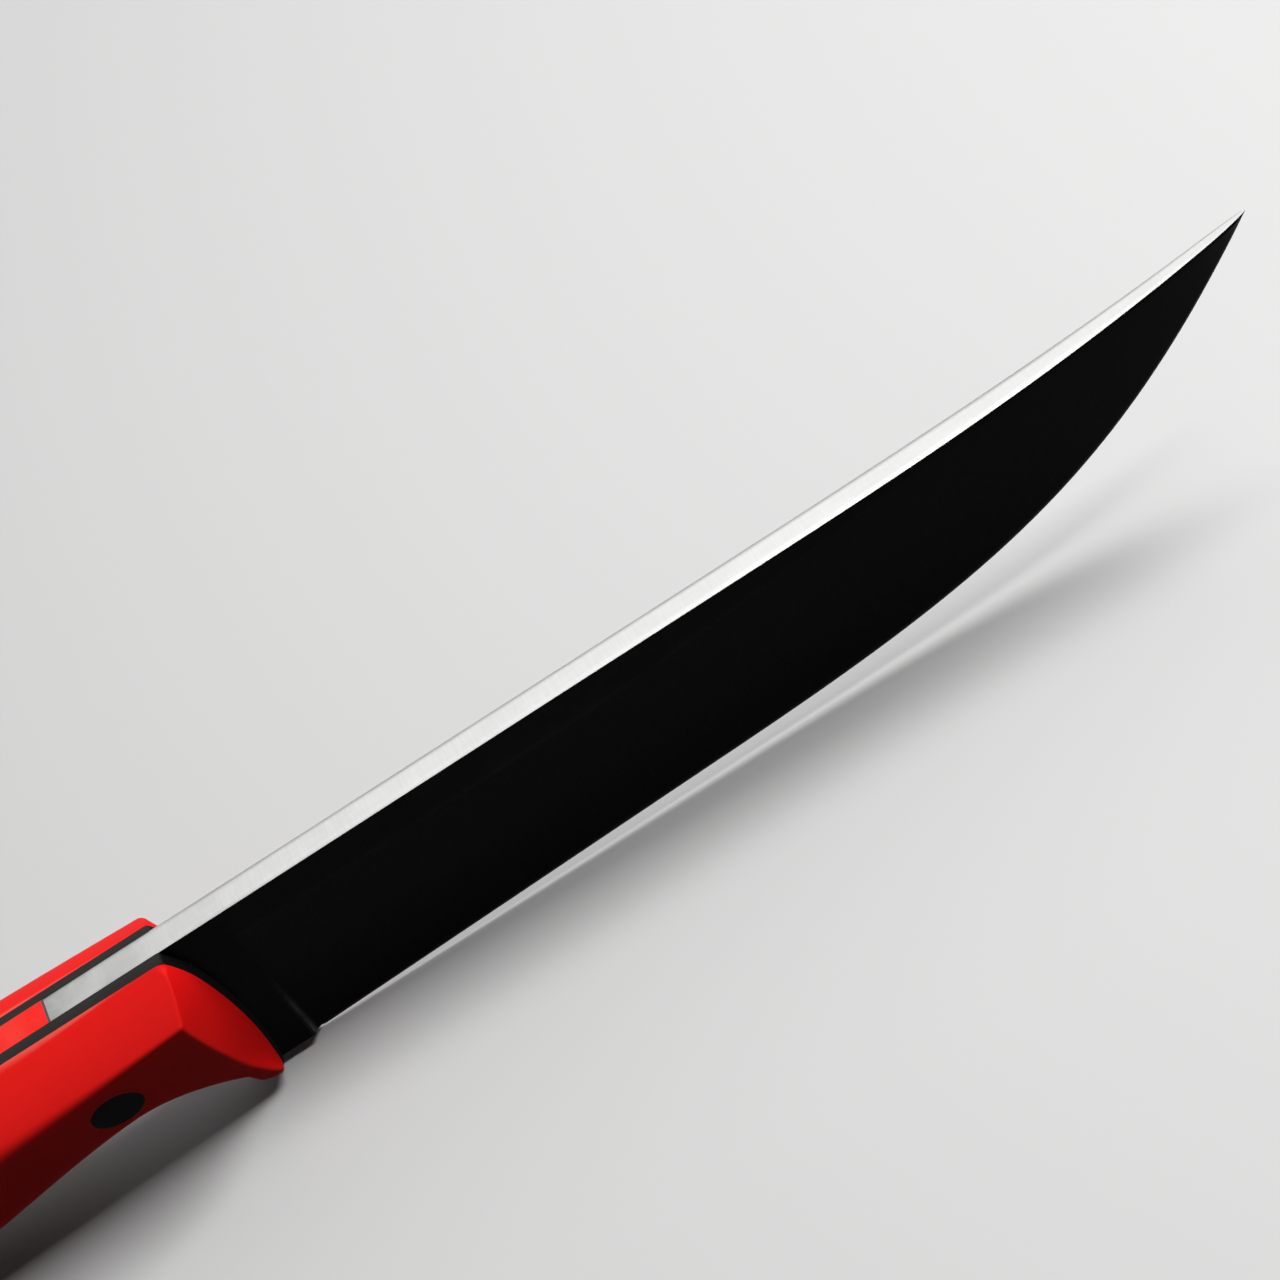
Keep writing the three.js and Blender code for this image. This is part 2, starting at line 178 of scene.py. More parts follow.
class KnifeHandle(bpy.types.PropertyGroup):
    """Sizes of the handle; setbacks run from its front, insets from its butt, depths from the spine."""

    length: size("Length", "From the front of the handle to the butt", 124)
    top_straight: size("Top Straight", "Length of the level top", 30)
    top_drop_inset: size("Top Drop Inset", "Where the top has dropped fully", 6)
    top_drop: size("Top Drop", "How far the top drops at the butt", 4)
    lip_flat: size("Lip Flat", "Length of the lip's flat foot", 1.2)
    lip_length: size("Lip Length", "Length of the lip", 2.7)
    lip_back_rise: size("Lip Back Rise", "How far the lip rises to its back", 1.3)
    lip_back_run: size("Lip Back Run", "Length of the wall behind the lip", 0.6)
    lip_softness: size("Lip Softness", "Length over which the belly's corners are softened", 0.5)
    groove_setback: size("Groove Setback", "Place of the finger groove", 18)
    groove_depth: size("Groove Depth", "Depth of the handle at the finger groove", 21.9)
    groove_radius: size("Groove Radius", "Radius of the finger groove", 13.7)
    swell_setback: size("Swell Setback", "Place of the palm swell", 58)
    swell_depth: size("Swell Depth", "Depth of the handle at the palm swell", 28)
    waist_inset: size("Waist Inset", "Place of the waist", 34)
    waist_depth: size("Waist Depth", "Depth of the handle at the waist", 25.5)
    beak_inset: size("Beak Inset", "Place of the beak's lowest point", 5)
    beak_depth: size("Beak Depth", "Depth of the beak", 36)
    butt_radius: size("Butt Radius", "Radius of the butt, seen from the side", 45)
    butt_vertex_depth: size("Butt Vertex Depth", "Depth of the butt's hindmost point", 26)
    butt_facet_slope: number("Butt Facet Slope", "Setback of the butt's facet per width", 0.8)
    crown_run_front: size("Crown Run, Front", "Half width of the rounded crown at the front", 1.1)
    crown_run_swell: size("Crown Run, Swell", "Half width of the rounded crown at the swell", 1.7)
    ridge_half_front: size("Ridge Half Width, Front", "Half width at the front", 10.03)
    ridge_half_swell: size("Ridge Half Width, Swell", "Half width at the swell", 12.3)
    ridge_half_waist: size("Ridge Half Width, Waist", "Half width at the waist", 10.9)
    ridge_half_butt: size("Ridge Half Width, Butt", "Half width at the butt", 12.2)
    ridge_drop_front: size("Ridge Drop, Front", "Depth of the ridge at the front", 6.2)
    ridge_drop_butt: size("Ridge Drop, Butt", "Depth of the ridge at the butt", 7.7)
    side_tilt: angle("Side Tilt", "Lean of the side under the ridge", 9.5)
    facet_bow: angle("Facet Bow", "How far the upper facet bows at each end", 7)
    side_bow_top: angle("Side Bow, Top", "How far the side bows under the ridge", 6)
    side_bow_foot: angle("Side Bow, Foot", "How far the side bows over the belly", 2)
    ridge_reach_front: size("Ridge Reach, Front", "Rounding of the ridge at the front", 0.45)
    ridge_reach_swell: size("Ridge Reach, Swell", "Rounding of the ridge at the swell", 2.1)
    belly_reach_lip: size("Belly Reach, Lip", "Rounding of the belly at the lip", 3.3)
    belly_reach_groove: size("Belly Reach, Groove", "Rounding of the belly at the groove", 4.2)
    belly_reach_swell: size("Belly Reach, Swell", "Rounding of the belly at the swell", 5.5)
    nose_reach: size("Nose Reach", "How far the front bulges forward", 2.2)
    nose_depth: size("Nose Depth", "Depth of the front's foremost point", 16)
    nose_radius: size("Nose Radius", "Radius of the front, seen from the side", 85)
    nose_corner_height: size("Nose Corner Height", "Height of the broken corner at the spine", 8)
    nose_corner_setback: size("Nose Corner Setback", "Setback of the corner at the spine", 1.05)
    facet_setback: size("Facet Setback", "Where the front facet meets the side", 2.55)
    facet_lean: number("Facet Lean", "How fast the facet's edge comes forward with depth", 0.058)
    facet_turn_depth: size("Facet Turn Depth", "Where the facet begins to sweep forward", 22)
    facet_sweep_radius: size("Facet Sweep Radius", "Radius of the facet's forward sweep", 30)
    facet_edge_round_top: size("Facet Edge Round, Top", "How far the facets' upper edges are broken", 0.3)
    facet_edge_round_ridge: size("Facet Edge Round, Ridge", "How far they are broken next to the ridge", 0.7)
    facet_edge_round_side: size("Facet Edge Round, Side", "How far the facets' side edges are broken", 0.4)
    facet_edge_round_lip: size("Facet Edge Round, Lip", "How far the facets' lowest edges are broken", 0.8)
    corner_round: size("Corner Round", "How far the scales' corners at the liners are broken", 1.3)
    corner_spread: size("Corner Spread", "Height over which the corners' rounding dies away", 4.5)
    # A highlight painted along the scales' crown next to the liners, growing towards the rear.
    crown_highlight_start: size("Crown Highlight Start", "Where the highlight painted along the scales' crown begins", 1.5)
    crown_highlight_full: size("Crown Highlight Full", "Where the highlight painted along the scales' crown is strongest", 16.5)
    crown_highlight_most: number("Crown Highlight Most", "How strong that painted highlight is there", 1.6)


class KnifeLayers(bpy.types.PropertyGroup):
    """Sizes of the tang, the liners, the glue line and the pins."""

    spine_shoulder: size("Spine Shoulder", "Length of steel that shows on the handle's top", 17.2)
    belly_shoulder: size("Belly Shoulder", "Length of steel that shows on the handle's belly", 27)
    tang_depth: size("Tang Depth", "Depth of the tang's middle line", 13.9)
    tang_height: size("Tang Height", "Height of the hidden tang", 13)
    tang_inset: size("Tang Inset", "Where the tang stops in front of the butt", 16)
    shoulder_radius: size("Shoulder Radius", "Radius inside the tang's shoulders", 3)
    tang_end_radius: size("Tang End Radius", "Radius at the tang's end", 4)
    glue_gap: size("Glue Gap", "Width of the glue line round the tang", 0.36)
    glue_dip: size("Glue Dip", "How far the glue line lies below the surface", 0.006)
    glue_depth: size("Glue Depth", "Depth of the glue that is modelled", 2.5)
    # A paler, less saturated sheen painted over the whole frame.
    frame_sheen: number("Frame Sheen", "How much paler sheen is painted over the whole frame", 0.32)
    liner_lead: size("Liner Lead", "How far the liners lead the scales at the steel", 0.4)
    pin_proud: size("Pin Proud", "How far the pins stand above the scales", 0.03)
    pin_edge: size("Pin Edge", "Width of the pins' broken edge", 0.18)
    dull_front: number("Dulling", "How dull the steel is at the front of the handle", 0.36)
    dull_run: size("Dulling Run", "Length over which the dulling dies away along the spine", 18)
    dull_length: size("Dulling Length", "Length of tang over which the steel grows fully dull", 13)


class KnifeFinish(bpy.types.PropertyGroup):
    """Colours of the finishes."""

    bare_steel: colour("Bare Steel", "Ground spine", (0.82, 0.82, 0.81))
    bare_steel_dull: colour("Dull Steel", "Spine between the marks", (0.73, 0.73, 0.725))
    tang_steel: colour("Tang Steel", "Sanded tang on the handle's top", (0.61, 0.613, 0.600))
    tang_steel_dull: colour("Dull Tang Steel", "Smudges on the tang", (0.37, 0.37, 0.366))
    black_steel: colour("Black Steel", "Dark flats of the blade", (0.0015, 0.0015, 0.0016))
    black_steel_dull: colour("Dull Black Steel", "Dark flats between the marks", (0.0030, 0.0030, 0.0031))
    # Painted highlight: a lighter steel colour laid along the plunge and the grind's shoulder.
    black_steel_highlight: colour("Black Steel Highlight", "Highlight painted on the plunge and shoulder", (0.070, 0.070, 0.072))
    red: colour("Red", "Red laminate of the scales and the frame", (0.88, 0.0125, 0.0100))
    red_deep: colour("Deep Red", "Resin between the red fibres", (0.83, 0.0105, 0.0088))
    # Painted highlight and sheen: a paler red laid along the scales' crown and over the frame.
    red_sheen: colour("Red Sheen", "Paler red painted as a highlight on the crown and a sheen on the frame", (0.84, 0.085, 0.065))
    red_front: colour("Front Red", "Polished front of the red scales", (0.84, 0.0060, 0.0055))
    liner: colour("Liner", "Black laminate of the liners", (0.0325, 0.0300, 0.0290))
    liner_deep: colour("Deep Liner", "Resin between the black fibres", (0.0240, 0.0222, 0.0215))
    liner_front: colour("Front Liner", "Polished front of the liners", (0.0035, 0.0032, 0.0032))
    pin: colour("Pin", "Black rod of the pins", (0.0030, 0.0029, 0.0028))
    pin_deep: colour("Deep Pin", "Resin between the rod's fibres", (0.0018, 0.0018, 0.0018))
    pin_worn: colour("Worn Pin", "Sanded rim of the pins", (0.0060, 0.0058, 0.0056))
    glue: colour("Glue", "Glue in the joint of the tang", (0.100, 0.093, 0.090))
    glue_deep: colour("Deep Glue", "Darker streaks in the glue", (0.070, 0.064, 0.062))
    floor: colour("Floor", "Pale studio floor", (0.60, 0.60, 0.598))
    floor_bounce: colour("Floor Bounce", "Floor in the light that it gives back", (0.012, 0.012, 0.012))
    room: colour("Room", "Pale room behind the floor", (0.66, 0.66, 0.658))
    room_overhead: colour("Room Overhead", "Room above the knife", (0.10, 0.10, 0.10))


class KnifeStage(bpy.types.PropertyGroup):
    """Places of the camera and the lamps."""

    lens: FloatProperty(name="Lens", description="Focal length in millimetres", default=100)
    aim_setout: size("Aim", "Camera's aim, in front of the handle's front", 76.71)
    aim_drop: size("Aim Drop", "Camera's aim, below the spine line", 1.92)
    distance: size("Distance", "From the camera to its aim", 469.64)
    azimuth: angle("Azimuth", "Turn of the camera from the right side towards the tip", 7.817)
    elevation: angle("Elevation", "Height of the camera above the level", 50.147)
    roll: angle("Roll", "Turn of the camera about its own line of sight", 38.727)
    key_power: number("Key Power", "Watts of the key softbox", 10.9)
    key_width: size("Key Width", "Side of the key softbox", 430)
    key_azimuth: angle("Key Azimuth", "Turn of the key softbox from the right side", 98.5)
    key_elevation: angle("Key Elevation", "Height of the key softbox", 59)
    back_power: number("Back Power", "Watts of the softbox behind the spine", 1.85)
    back_width: size("Back Width", "Side of the back softbox", 760)
    back_azimuth: angle("Back Azimuth", "Turn of the back softbox from the right side", 189)
    back_elevation: angle("Back Elevation", "Height of the back softbox", 57)
    lamp_distance: size("Lamp Distance", "From the lamps to the knife", 900)
    room_level: number("Room Level", "Strength of the light that fills the room", 0.046)
    floor_width: size("Floor Width", "Side of the floor", 6000)
    floor_lit: size("Floor Lit", "Where the lamps' floor begins to pass into the room", 260)
    floor_end: size("Floor End", "Where the floor has passed into the room", 1000)


# Curves and meshes

def lerp(a, b, u):
    """a where u is 0 and b where u is 1, in a straight line between."""
    return a + (b - a) * u


def smoothstep(u):
    """3u² - 2u³ with u held between 0 and 1."""
    u = np.clip(u, 0, 1)
    return u * u * (3 - 2 * u)


def eased(x, *knots):
    """A value through (x, value) knots, level at each: the first value plus every eased step so far."""
    value = np.full(np.shape(x), knots[0][1])
    for (x0, value0), (x1, value1) in zip(knots, knots[1:]):
        value = value + (value1 - value0) * smoothstep((x - x0) / (x1 - x0))
    return value


def bend(start, corner, end, u):
    """A parabola from start to end that leaves and arrives along the lines to the corner."""
    return (1 - u) ** 2 * start + 2 * u * (1 - u) * corner + u ** 2 * end


def bow(start, start_way, end, end_way, u):
    """A parabola that leaves the start one way and arrives at the end another: its corner is where the two
    ways cross."""
    chord = end - start
    share = (chord[..., 0] * end_way[..., 1] - chord[..., 1] * end_way[..., 0]) / (
        start_way[..., 0] * end_way[..., 1] - start_way[..., 1] * end_way[..., 0])
    return bend(start, start + start_way * share[..., None], end, u)


def downhill(slope):
    """The way down and out at a slope below the level."""
    return np.stack([np.cos(slope), -np.sin(slope)], -1)


def steps(*counts):
    """Column places 0 to n over n stretches, each cut into its own count of equal steps."""
    parts = [i + np.arange(n) / n for i, n in enumerate(counts)]
    return np.append(np.concatenate(parts), len(counts))


def grid_quads(rows, columns, wrap_rows=False, wrap_columns=False):
    """Four corner numbers for every cell of a grid whose points run row by row."""
    row = np.arange(rows if wrap_rows else rows - 1)[:, None]
    column = np.arange(columns if wrap_columns else columns - 1)[None, :]
    next_row = (row + 1) % rows * columns
    next_column = (column + 1) % columns
    row = row * columns
    corners = [row + column, row + next_column, next_row + next_column, next_row + column]
    return np.stack(corners, axis=-1).reshape(-1, 4)


def grid_corners(rows, columns):
    """The number of every point of a grid whose points run row by row."""
    return np.arange(rows * columns).reshape(rows, columns)


def knife_front():
    """Place of the front of the handle: one blade length behind the tip of the frame's blade."""
    return TIP_X - bpy.context.scene.knife_blade.length


def make_piece(name, points, quads, caps, materials, finish=None, marks=None, sharp=SHARP_ANGLE):
    """A mesh of knife places moved into the frame, its doubles merged and its faces pointing out. The caps
    are closing faces of many corners, and the finish is the number of each face's material."""
    mesh = bpy.data.meshes.new(name)
    moved = np.asarray(points, float).reshape(-1, 3) + (knife_front(), 0, SPINE_Z)
    mesh.from_pydata(moved.tolist(), [], quads.tolist() + [cap.tolist() for cap in caps])
    for material in materials:
        mesh.materials.append(material)
    if finish is not None:
        mesh.polygons.foreach_set("material_index", np.asarray(finish, np.int32))
    for mark, values in (marks or {}).items():
        layer = mesh.attributes.new(mark, "FLOAT", "POINT")
        layer.data.foreach_set("value", np.asarray(values, np.float32).ravel())
    body = bmesh.new()
    body.from_mesh(mesh)
    bmesh.ops.remove_doubles(body, verts=body.verts, dist=MERGE_DISTANCE)
    bmesh.ops.dissolve_degenerate(body, edges=body.edges, dist=MERGE_DISTANCE)
    bmesh.ops.recalc_face_normals(body, faces=body.faces)
    body.to_mesh(mesh)
    body.free()
    mesh.polygons.foreach_set("use_smooth", np.ones(len(mesh.polygons), bool))
    mesh.set_sharp_from_angle(angle=sharp)
    mesh.update()
    piece = bpy.data.objects.new(name, mesh)
    bpy.context.scene.collection.objects.link(piece)
    return piece


def dress(piece, slot, *nodes):
    """The piece moves with the knife and stands for the nodes; the slot is not used."""
    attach(piece, BODY)
    if nodes:
        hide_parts(*nodes)


# Blade

def spine_height(b, x):
    """The rise of the tip times the cube of the way from the sweep's start to the tip."""
    return b.tip_rise * np.clip((x - b.sweep_start) / (b.length - b.sweep_start), 0, 1) ** 3


def blade_thickness(b, x):
    """A slight straight taper from the ricasso, then a fall to the tip by a power of the way there. At the
    very tip the root of 1 less a square closes it, like the end of an ellipse."""
    rear = (x - b.ricasso_length) / (b.taper_start - b.ricasso_length)
    straight = lerp(2 * HALF_STEEL, b.taper_thickness, np.clip(rear, 0, 1))
    u = np.clip((x - b.taper_start) / (b.length - b.taper_start), 0, 1)
    falling = lerp(b.taper_thickness, b.tip_thickness, u ** b.taper_power)
    thickness = np.where(x < b.taper_start, straight, falling)
    end = np.clip(1 - (b.length - x) / b.tip_round, 0, 1)
    return thickness * np.sqrt(1 - b.tip_closed * end ** 2)


def edge_path(b):
    """The cutting edge: a straight line from the heel, then one cubic curve up into the point."""
    heel_depth = b.ricasso_depth + b.heel_step
    heel = np.array([b.ricasso_length + b.plunge_width, -heel_depth])
    turn = np.array([b.straight_end, b.straight_rise - heel_depth])
    point = np.array([b.length, b.tip_rise - b.tip_height])
    along = (turn - heel) / np.linalg.norm(turn - heel)
    line = lerp(heel, turn, np.linspace(0, 1, STRAIGHT_EDGE_ROWS, endpoint=False)[:, None])
    u = np.linspace(0, 1, CURVED_EDGE_ROWS)[:, None]
    carry = turn + along * b.belly_fullness
    approach = point - (b.approach_run, b.approach_drop)
    curve = (1 - u) ** 3 * turn + 3 * u * (1 - u) ** 2 * carry
    curve = curve + 3 * u ** 2 * (1 - u) * approach + u ** 3 * point
    return np.vstack([line, curve])


def blade_stations(b, lip):
    """For each station: its place on the edge line, the edge's height, the grind's share and the lean.
    The plunge is a quarter circle, so the grind's share there is the root of 1 - (1 - u)²."""
    rear = np.linspace(-lip, b.ricasso_length, RICASSO_ROWS)
    u = np.linspace(0, 1, PLUNGE_ROWS + 2)[1:-1]
    hollow = np.sqrt(1 - (1 - u) ** 2)
    edge = edge_path(b)
    place = np.concatenate([rear, b.ricasso_length + u * b.plunge_width, edge[:, 0]])
    step_floor = -lerp(b.ricasso_depth, b.ricasso_depth + b.heel_step, hollow)
    floor = np.concatenate([np.full(rear.size, -b.ricasso_depth), step_floor, edge[:, 1]])
    wedge = np.concatenate([np.zeros(rear.size), hollow, np.ones(len(edge))])
    start = b.ricasso_length + b.plunge_width
    fade = 1 - smoothstep((place - start) / (b.straight_end - start))
    lean = math.tan(b.plunge_lean) * np.clip(place / b.ricasso_length, 0, 1) * fade
    return place, floor, wedge, lean


def painted_blade_highlight(b, place, floor, wedge, shoulder, z):
    """Where a highlight is painted on the dark steel: a bell curve along the foot of the plunge, and a bell
    curve along the grind's shoulder with half as much over the flat above it, eased in length from the heel
    to the tip."""
    plunge = np.exp(-((place - b.ricasso_length) / b.plunge_highlight_width) ** 2)
    foot = 1 - smoothstep((z - floor[:, None]) / b.plunge_highlight_height)
    above = (z - shoulder[:, None]) / b.shoulder_highlight_width
    line = np.maximum(np.exp(-above ** 2), smoothstep(above) / 2)
    length = eased(
        place,
        (b.shoulder_meets_spine, 0),
        (b.shoulder_level_end, 1),
        (b.ricasso_length, b.shoulder_highlight_heel),
    )
    return plunge[:, None] * foot + b.shoulder_highlight * line * (length * wedge)[:, None]


def blade_surface(b, lip):
    """Rings of half sections: spine, its rolled-off strip, flat, grind and bevel, straight between knots but
    for the strip, a parabola. Each point leans forward by its height above the edge times the lean. Near the
    tip the flat and the bevel keep to a third of the height each."""
    place, floor, wedge, lean = blade_stations(b, lip)
    top = spine_height(b, place)
    half = blade_thickness(b, place) / 2
    share = (top - floor) / 3
    shoulder = eased(place, (b.shoulder_meets_spine, b.spine_land), (b.shoulder_level_end, b.shoulder_depth))
    shoulder_z = top - np.minimum(shoulder, share)
    bevel_z = floor + np.minimum(b.bevel_height, share) * wedge
    bevel_half = lerp(half, np.minimum(b.bevel_thickness, half) / 2, wedge)
    roll = np.minimum(b.spine_roll, half / 2)
    drop = lerp(b.tang_roll_drop, b.spine_roll_drop, smoothstep(place / b.ricasso_length))
    drop = drop * roll / b.spine_roll
    zero = np.zeros_like(top)
    knots = np.stack([
        np.stack([zero, top], -1),
        np.stack([half - roll, top], -1),
        np.stack([half, top - drop], -1),
        np.stack([half, shoulder_z], -1),
        np.stack([bevel_half, bevel_z], -1),
        np.stack([zero, floor], -1),
    ], axis=1)
    column = steps(*BLADE_COLUMNS)
    i = np.minimum(column.astype(int), len(BLADE_COLUMNS) - 1)
    u = (column - i)[None, :, None]
    straight = lerp(knots[:, i], knots[:, i + 1], u)
    corner = np.stack([half - roll / 2, top], -1)[:, None]
    rolled = bend(knots[:, 1:2], corner, knots[:, 2:3], u)
    section = np.where((i == 1)[None, :, None], rolled, straight)
    y, z = section[..., 0], section[..., 1]
    x = place[:, None] + (z - floor[:, None]) * lean[:, None]
    near = np.stack([x, y, z], -1)
    far = near[:, -2:0:-1] * (1, -1, 1)
    # Painted highlight along the plunge and the grind's shoulder, one value for every point.
    highlight = painted_blade_highlight(b, place, floor, wedge, shoulder_z, z)
    highlight = np.concatenate([highlight, highlight[:, -2:0:-1]], axis=1)
    return np.concatenate([near, far], axis=1), np.concatenate([column, column[-2:0:-1]]), highlight


# Handle profiles

def top_line(h, x):
    """Level at the front, eased down to the butt."""
    return eased(x, (-h.top_straight, 0), (h.top_drop_inset - h.length, -h.top_drop))


def belly_corners(h, x):
    """The lip's flat foot and back wall, a parabola for the finger groove, then eased swell and beak."""
    groove = -h.groove_depth - (x + h.groove_setback) ** 2 / (2 * h.groove_radius)
    rear = eased(
        x,
        (-h.groove_setback, -h.groove_depth),
        (-h.swell_setback, -h.swell_depth),
        (h.waist_inset - h.length, -h.waist_depth),
        (h.beak_inset - h.length, -h.beak_depth),
    )
    wall_foot = -h.lip_length - h.lip_back_run
    wall_top = -h.groove_depth - (wall_foot + h.groove_setback) ** 2 / (2 * h.groove_radius)
    foot = -bpy.context.scene.knife_blade.ricasso_depth
    lip = np.interp(x, [wall_foot, -h.lip_length, -h.lip_flat], [wall_top, foot + h.lip_back_rise, foot])
    return np.where(x < -h.groove_setback, rear, np.where(x < wall_foot, groove, lip))


def belly_line(h, x):
    """The belly averaged over the softness, which rounds the corners of the lip."""
    shifts = np.linspace(-0.5, 0.5, BELLY_SAMPLES) * h.lip_softness
    return np.mean([belly_corners(h, x + shift) for shift in shifts], axis=0)


def ridge_half(h, x):
    """A sine from the front to the swell, then eased to the waist and the butt."""
    front = lerp(h.ridge_half_front, h.ridge_half_swell, np.sin(-x / h.swell_setback * np.pi / 2))
    rear = eased(
        x,
        (-h.swell_setback, h.ridge_half_swell),
        (h.waist_inset - h.length, h.ridge_half_waist),
        (-h.length, h.ridge_half_butt),
    )
    return np.where(x >= -h.swell_setback, front, rear)


def ridge_line(h, x):
    """The top less a drop that grows straight from the front to the butt."""
    return top_line(h, x) - lerp(h.ridge_drop_front, h.ridge_drop_butt, -x / h.length)


def side_half(h, x, z):
    """The ridge's half width less the lean of the side times the depth below the ridge."""
    return ridge_half(h, x) - (ridge_line(h, x) - z) * math.tan(h.side_tilt)


def crown_run(h, x):
    """Half width of the crown, eased from the front to the end of the level top."""
    return eased(x, (0, h.crown_run_front), (-h.top_straight, h.crown_run_swell))


def crown_shape(h, x):
    """Slope of the upper facet and radius of the crown that leads from the flat steel into it."""
    run = crown_run(h, x)
    drop = top_line(h, x) - ridge_line(h, x)
    slope = np.arctan2(drop, ridge_half(h, x) - HALF_STEEL - run)
    return slope, run / np.tan(slope / 2)


def crown_drop(h, x, y):
    """Depth of the crown's circle below the top at a place y outside the steel."""
    radius = crown_shape(h, x)[1]
    return radius - np.sqrt(radius ** 2 - (y - HALF_STEEL) ** 2)


def scale_skin(h, x, t):
    """Half section of a scale, from the liner at t 0 round to the liner at t 5: the crown's circle, the
    bowed upper facet, the ridge's parabola, the bowed side and the belly's parabola. All arrays match."""
    top = top_line(h, x)
    floor = belly_line(h, x)
    slope, radius = crown_shape(h, x)
    level = np.full_like(x, np.pi / 2)
    facet_start, facet_end = downhill(slope - h.facet_bow), downhill(slope + h.facet_bow)
    side_start = downhill(level + h.side_tilt - h.side_bow_top)
    side_end = downhill(level + h.side_tilt + h.side_bow_foot)
    ridge = np.stack([ridge_half(h, x), ridge_line(h, x)], -1)
    heel = np.stack([side_half(h, x, floor), floor], -1)
    wall = np.linalg.norm(heel - ridge, axis=-1)
    ridge_reach = eased(x, (0, h.ridge_reach_front), (-h.swell_setback, h.ridge_reach_swell))
    belly_reach = eased(
        x,
        (0, h.belly_reach_lip),
        (-h.groove_setback, h.belly_reach_groove),
        (-h.swell_setback, h.belly_reach_swell),
    )
    ridge_reach = np.minimum(ridge_reach, RIDGE_WALL_SHARE * wall)[..., None]
    belly_reach = np.minimum(belly_reach, BELLY_WALL_SHARE * wall)[..., None]
    ridge_start = ridge - facet_end * ridge_reach
    ridge_end = ridge + side_start * ridge_reach
    belly_start = heel - side_end * belly_reach
    belly_end = np.stack([np.full_like(x, HALF_LINER), floor], -1)
    u = (t - np.minimum(np.floor(t), SKIN_STRETCHES - 1))[..., None]
    last_turn = slope - h.facet_bow
    liner_turn = np.arcsin(np.minimum((HALF_LINER - HALF_STEEL) / radius, np.sin(last_turn)))
    turn = lerp(liner_turn, last_turn, u[..., 0])
    crown = np.stack([HALF_STEEL + radius * np.sin(turn), top - radius * (1 - np.cos(turn))], -1)
    last = np.maximum(liner_turn, last_turn)
    crown_end = np.stack([HALF_STEEL + radius * np.sin(last), top - radius * (1 - np.cos(last))], -1)
    stretch = np.minimum(t, SKIN_STRETCHES - 1).astype(int)[..., None]
    section = np.select(
        [stretch == 0, stretch == 1, stretch == 2, stretch == 3],
        [
            crown,
            bow(crown_end, facet_start, ridge_start, facet_end, u),
            bend(ridge_start, ridge, ridge_end, u),
            bow(ridge_end, side_start, belly_start, side_end, u),
        ],
        bend(belly_start, heel, belly_end, u),
    )
    return section[..., 0], section[..., 1]


def nose_line(h, depth):
    """Front of the handle: a circle seen from the side, set back by a square near the spine."""
    arc = h.nose_reach - h.nose_radius + np.sqrt(h.nose_radius ** 2 - (depth - h.nose_depth) ** 2)
    corner = np.clip((h.nose_corner_height - depth) / h.nose_corner_height, 0, 1)
    return arc - h.nose_corner_setback * corner ** 2


def nose_facet_slope(h, depth):
    """Setback per width that brings the front facet to its edge: a line that leans forward with depth, plus
    a square under the turn."""
    facet_depth = np.maximum(depth, h.ridge_drop_front)
    sweep = np.maximum(0, facet_depth - h.facet_turn_depth) ** 2 / (2 * h.facet_sweep_radius)
    edge = h.facet_lean * (facet_depth - h.ridge_drop_front) + sweep - h.facet_setback
    width = side_half(h, edge, -facet_depth) - HALF_LINER
    return np.maximum(0, nose_line(h, depth) - edge) / np.maximum(width, HALF_LINER - HALF_STEEL)


def butt_line(h, depth):
    """Back of the handle: a parabola seen from the side."""
    return -h.length + (depth - h.butt_vertex_depth) ** 2 / (2 * h.butt_radius)


def butt_facet_slope(h, depth):
    """The same setback per width over the whole butt."""
    return np.full_like(depth, -h.butt_facet_slope)


def facet_crease(h, t, line, slope, start):
    """Where the skin at t meets an end facet: x is put back into the facet's formula until it holds."""
    x = np.full_like(t, start)
    for _ in range(CREASE_ROUNDS):
        y, z = scale_skin(h, x, t)
        x = line(h, -z) - slope(h, -z) * (y - HALF_LINER)
    y, z = scale_skin(h, x, t)
    return np.stack([x, y, z], -1)


def facet_rows(h, t, crease, line, slope, rows):
    """Rows of an end facet from its rim on the liner to where its edge begins to be broken. The rim is drawn
    in at both ends, so that the corners at the liner are broken too. How far the edge is broken is eased
    over t, from the liner over the upper facet, the ridge and the side to the lowest corner, and is at most
    a share of the facet's width."""
    depth = -crease[:, 2]
    from_top = smoothstep((depth - depth[0]) / h.corner_spread)
    from_foot = smoothstep((depth[-1] - depth) / h.corner_spread)
    rim_depth = depth + h.corner_round * (from_foot - from_top)
    rim = np.stack([line(h, rim_depth), np.full(len(crease), HALF_LINER), -rim_depth], -1)
    width = np.linalg.norm(crease - rim, axis=1)
    reach = eased(
        t,
        (1, h.corner_round),
        (1.2, h.facet_edge_round_top),
        (1.9, h.facet_edge_round_ridge),
        (2.4, h.facet_edge_round_side),
        (3.4, h.facet_edge_round_side),
        (4.7, h.facet_edge_round_lip),
    )
    broken = np.minimum(reach, FACET_BREAK_SHARE * width)
    u = np.linspace(0, 1, rows)[:, None] * (1 - broken / width)
    y = lerp(rim[:, 1], crease[:, 1], u)
    z = lerp(rim[:, 2], crease[:, 2], u)
    return np.stack([line(h, -z) - slope(h, -z) * (y - HALF_LINER), y, z], -1), broken


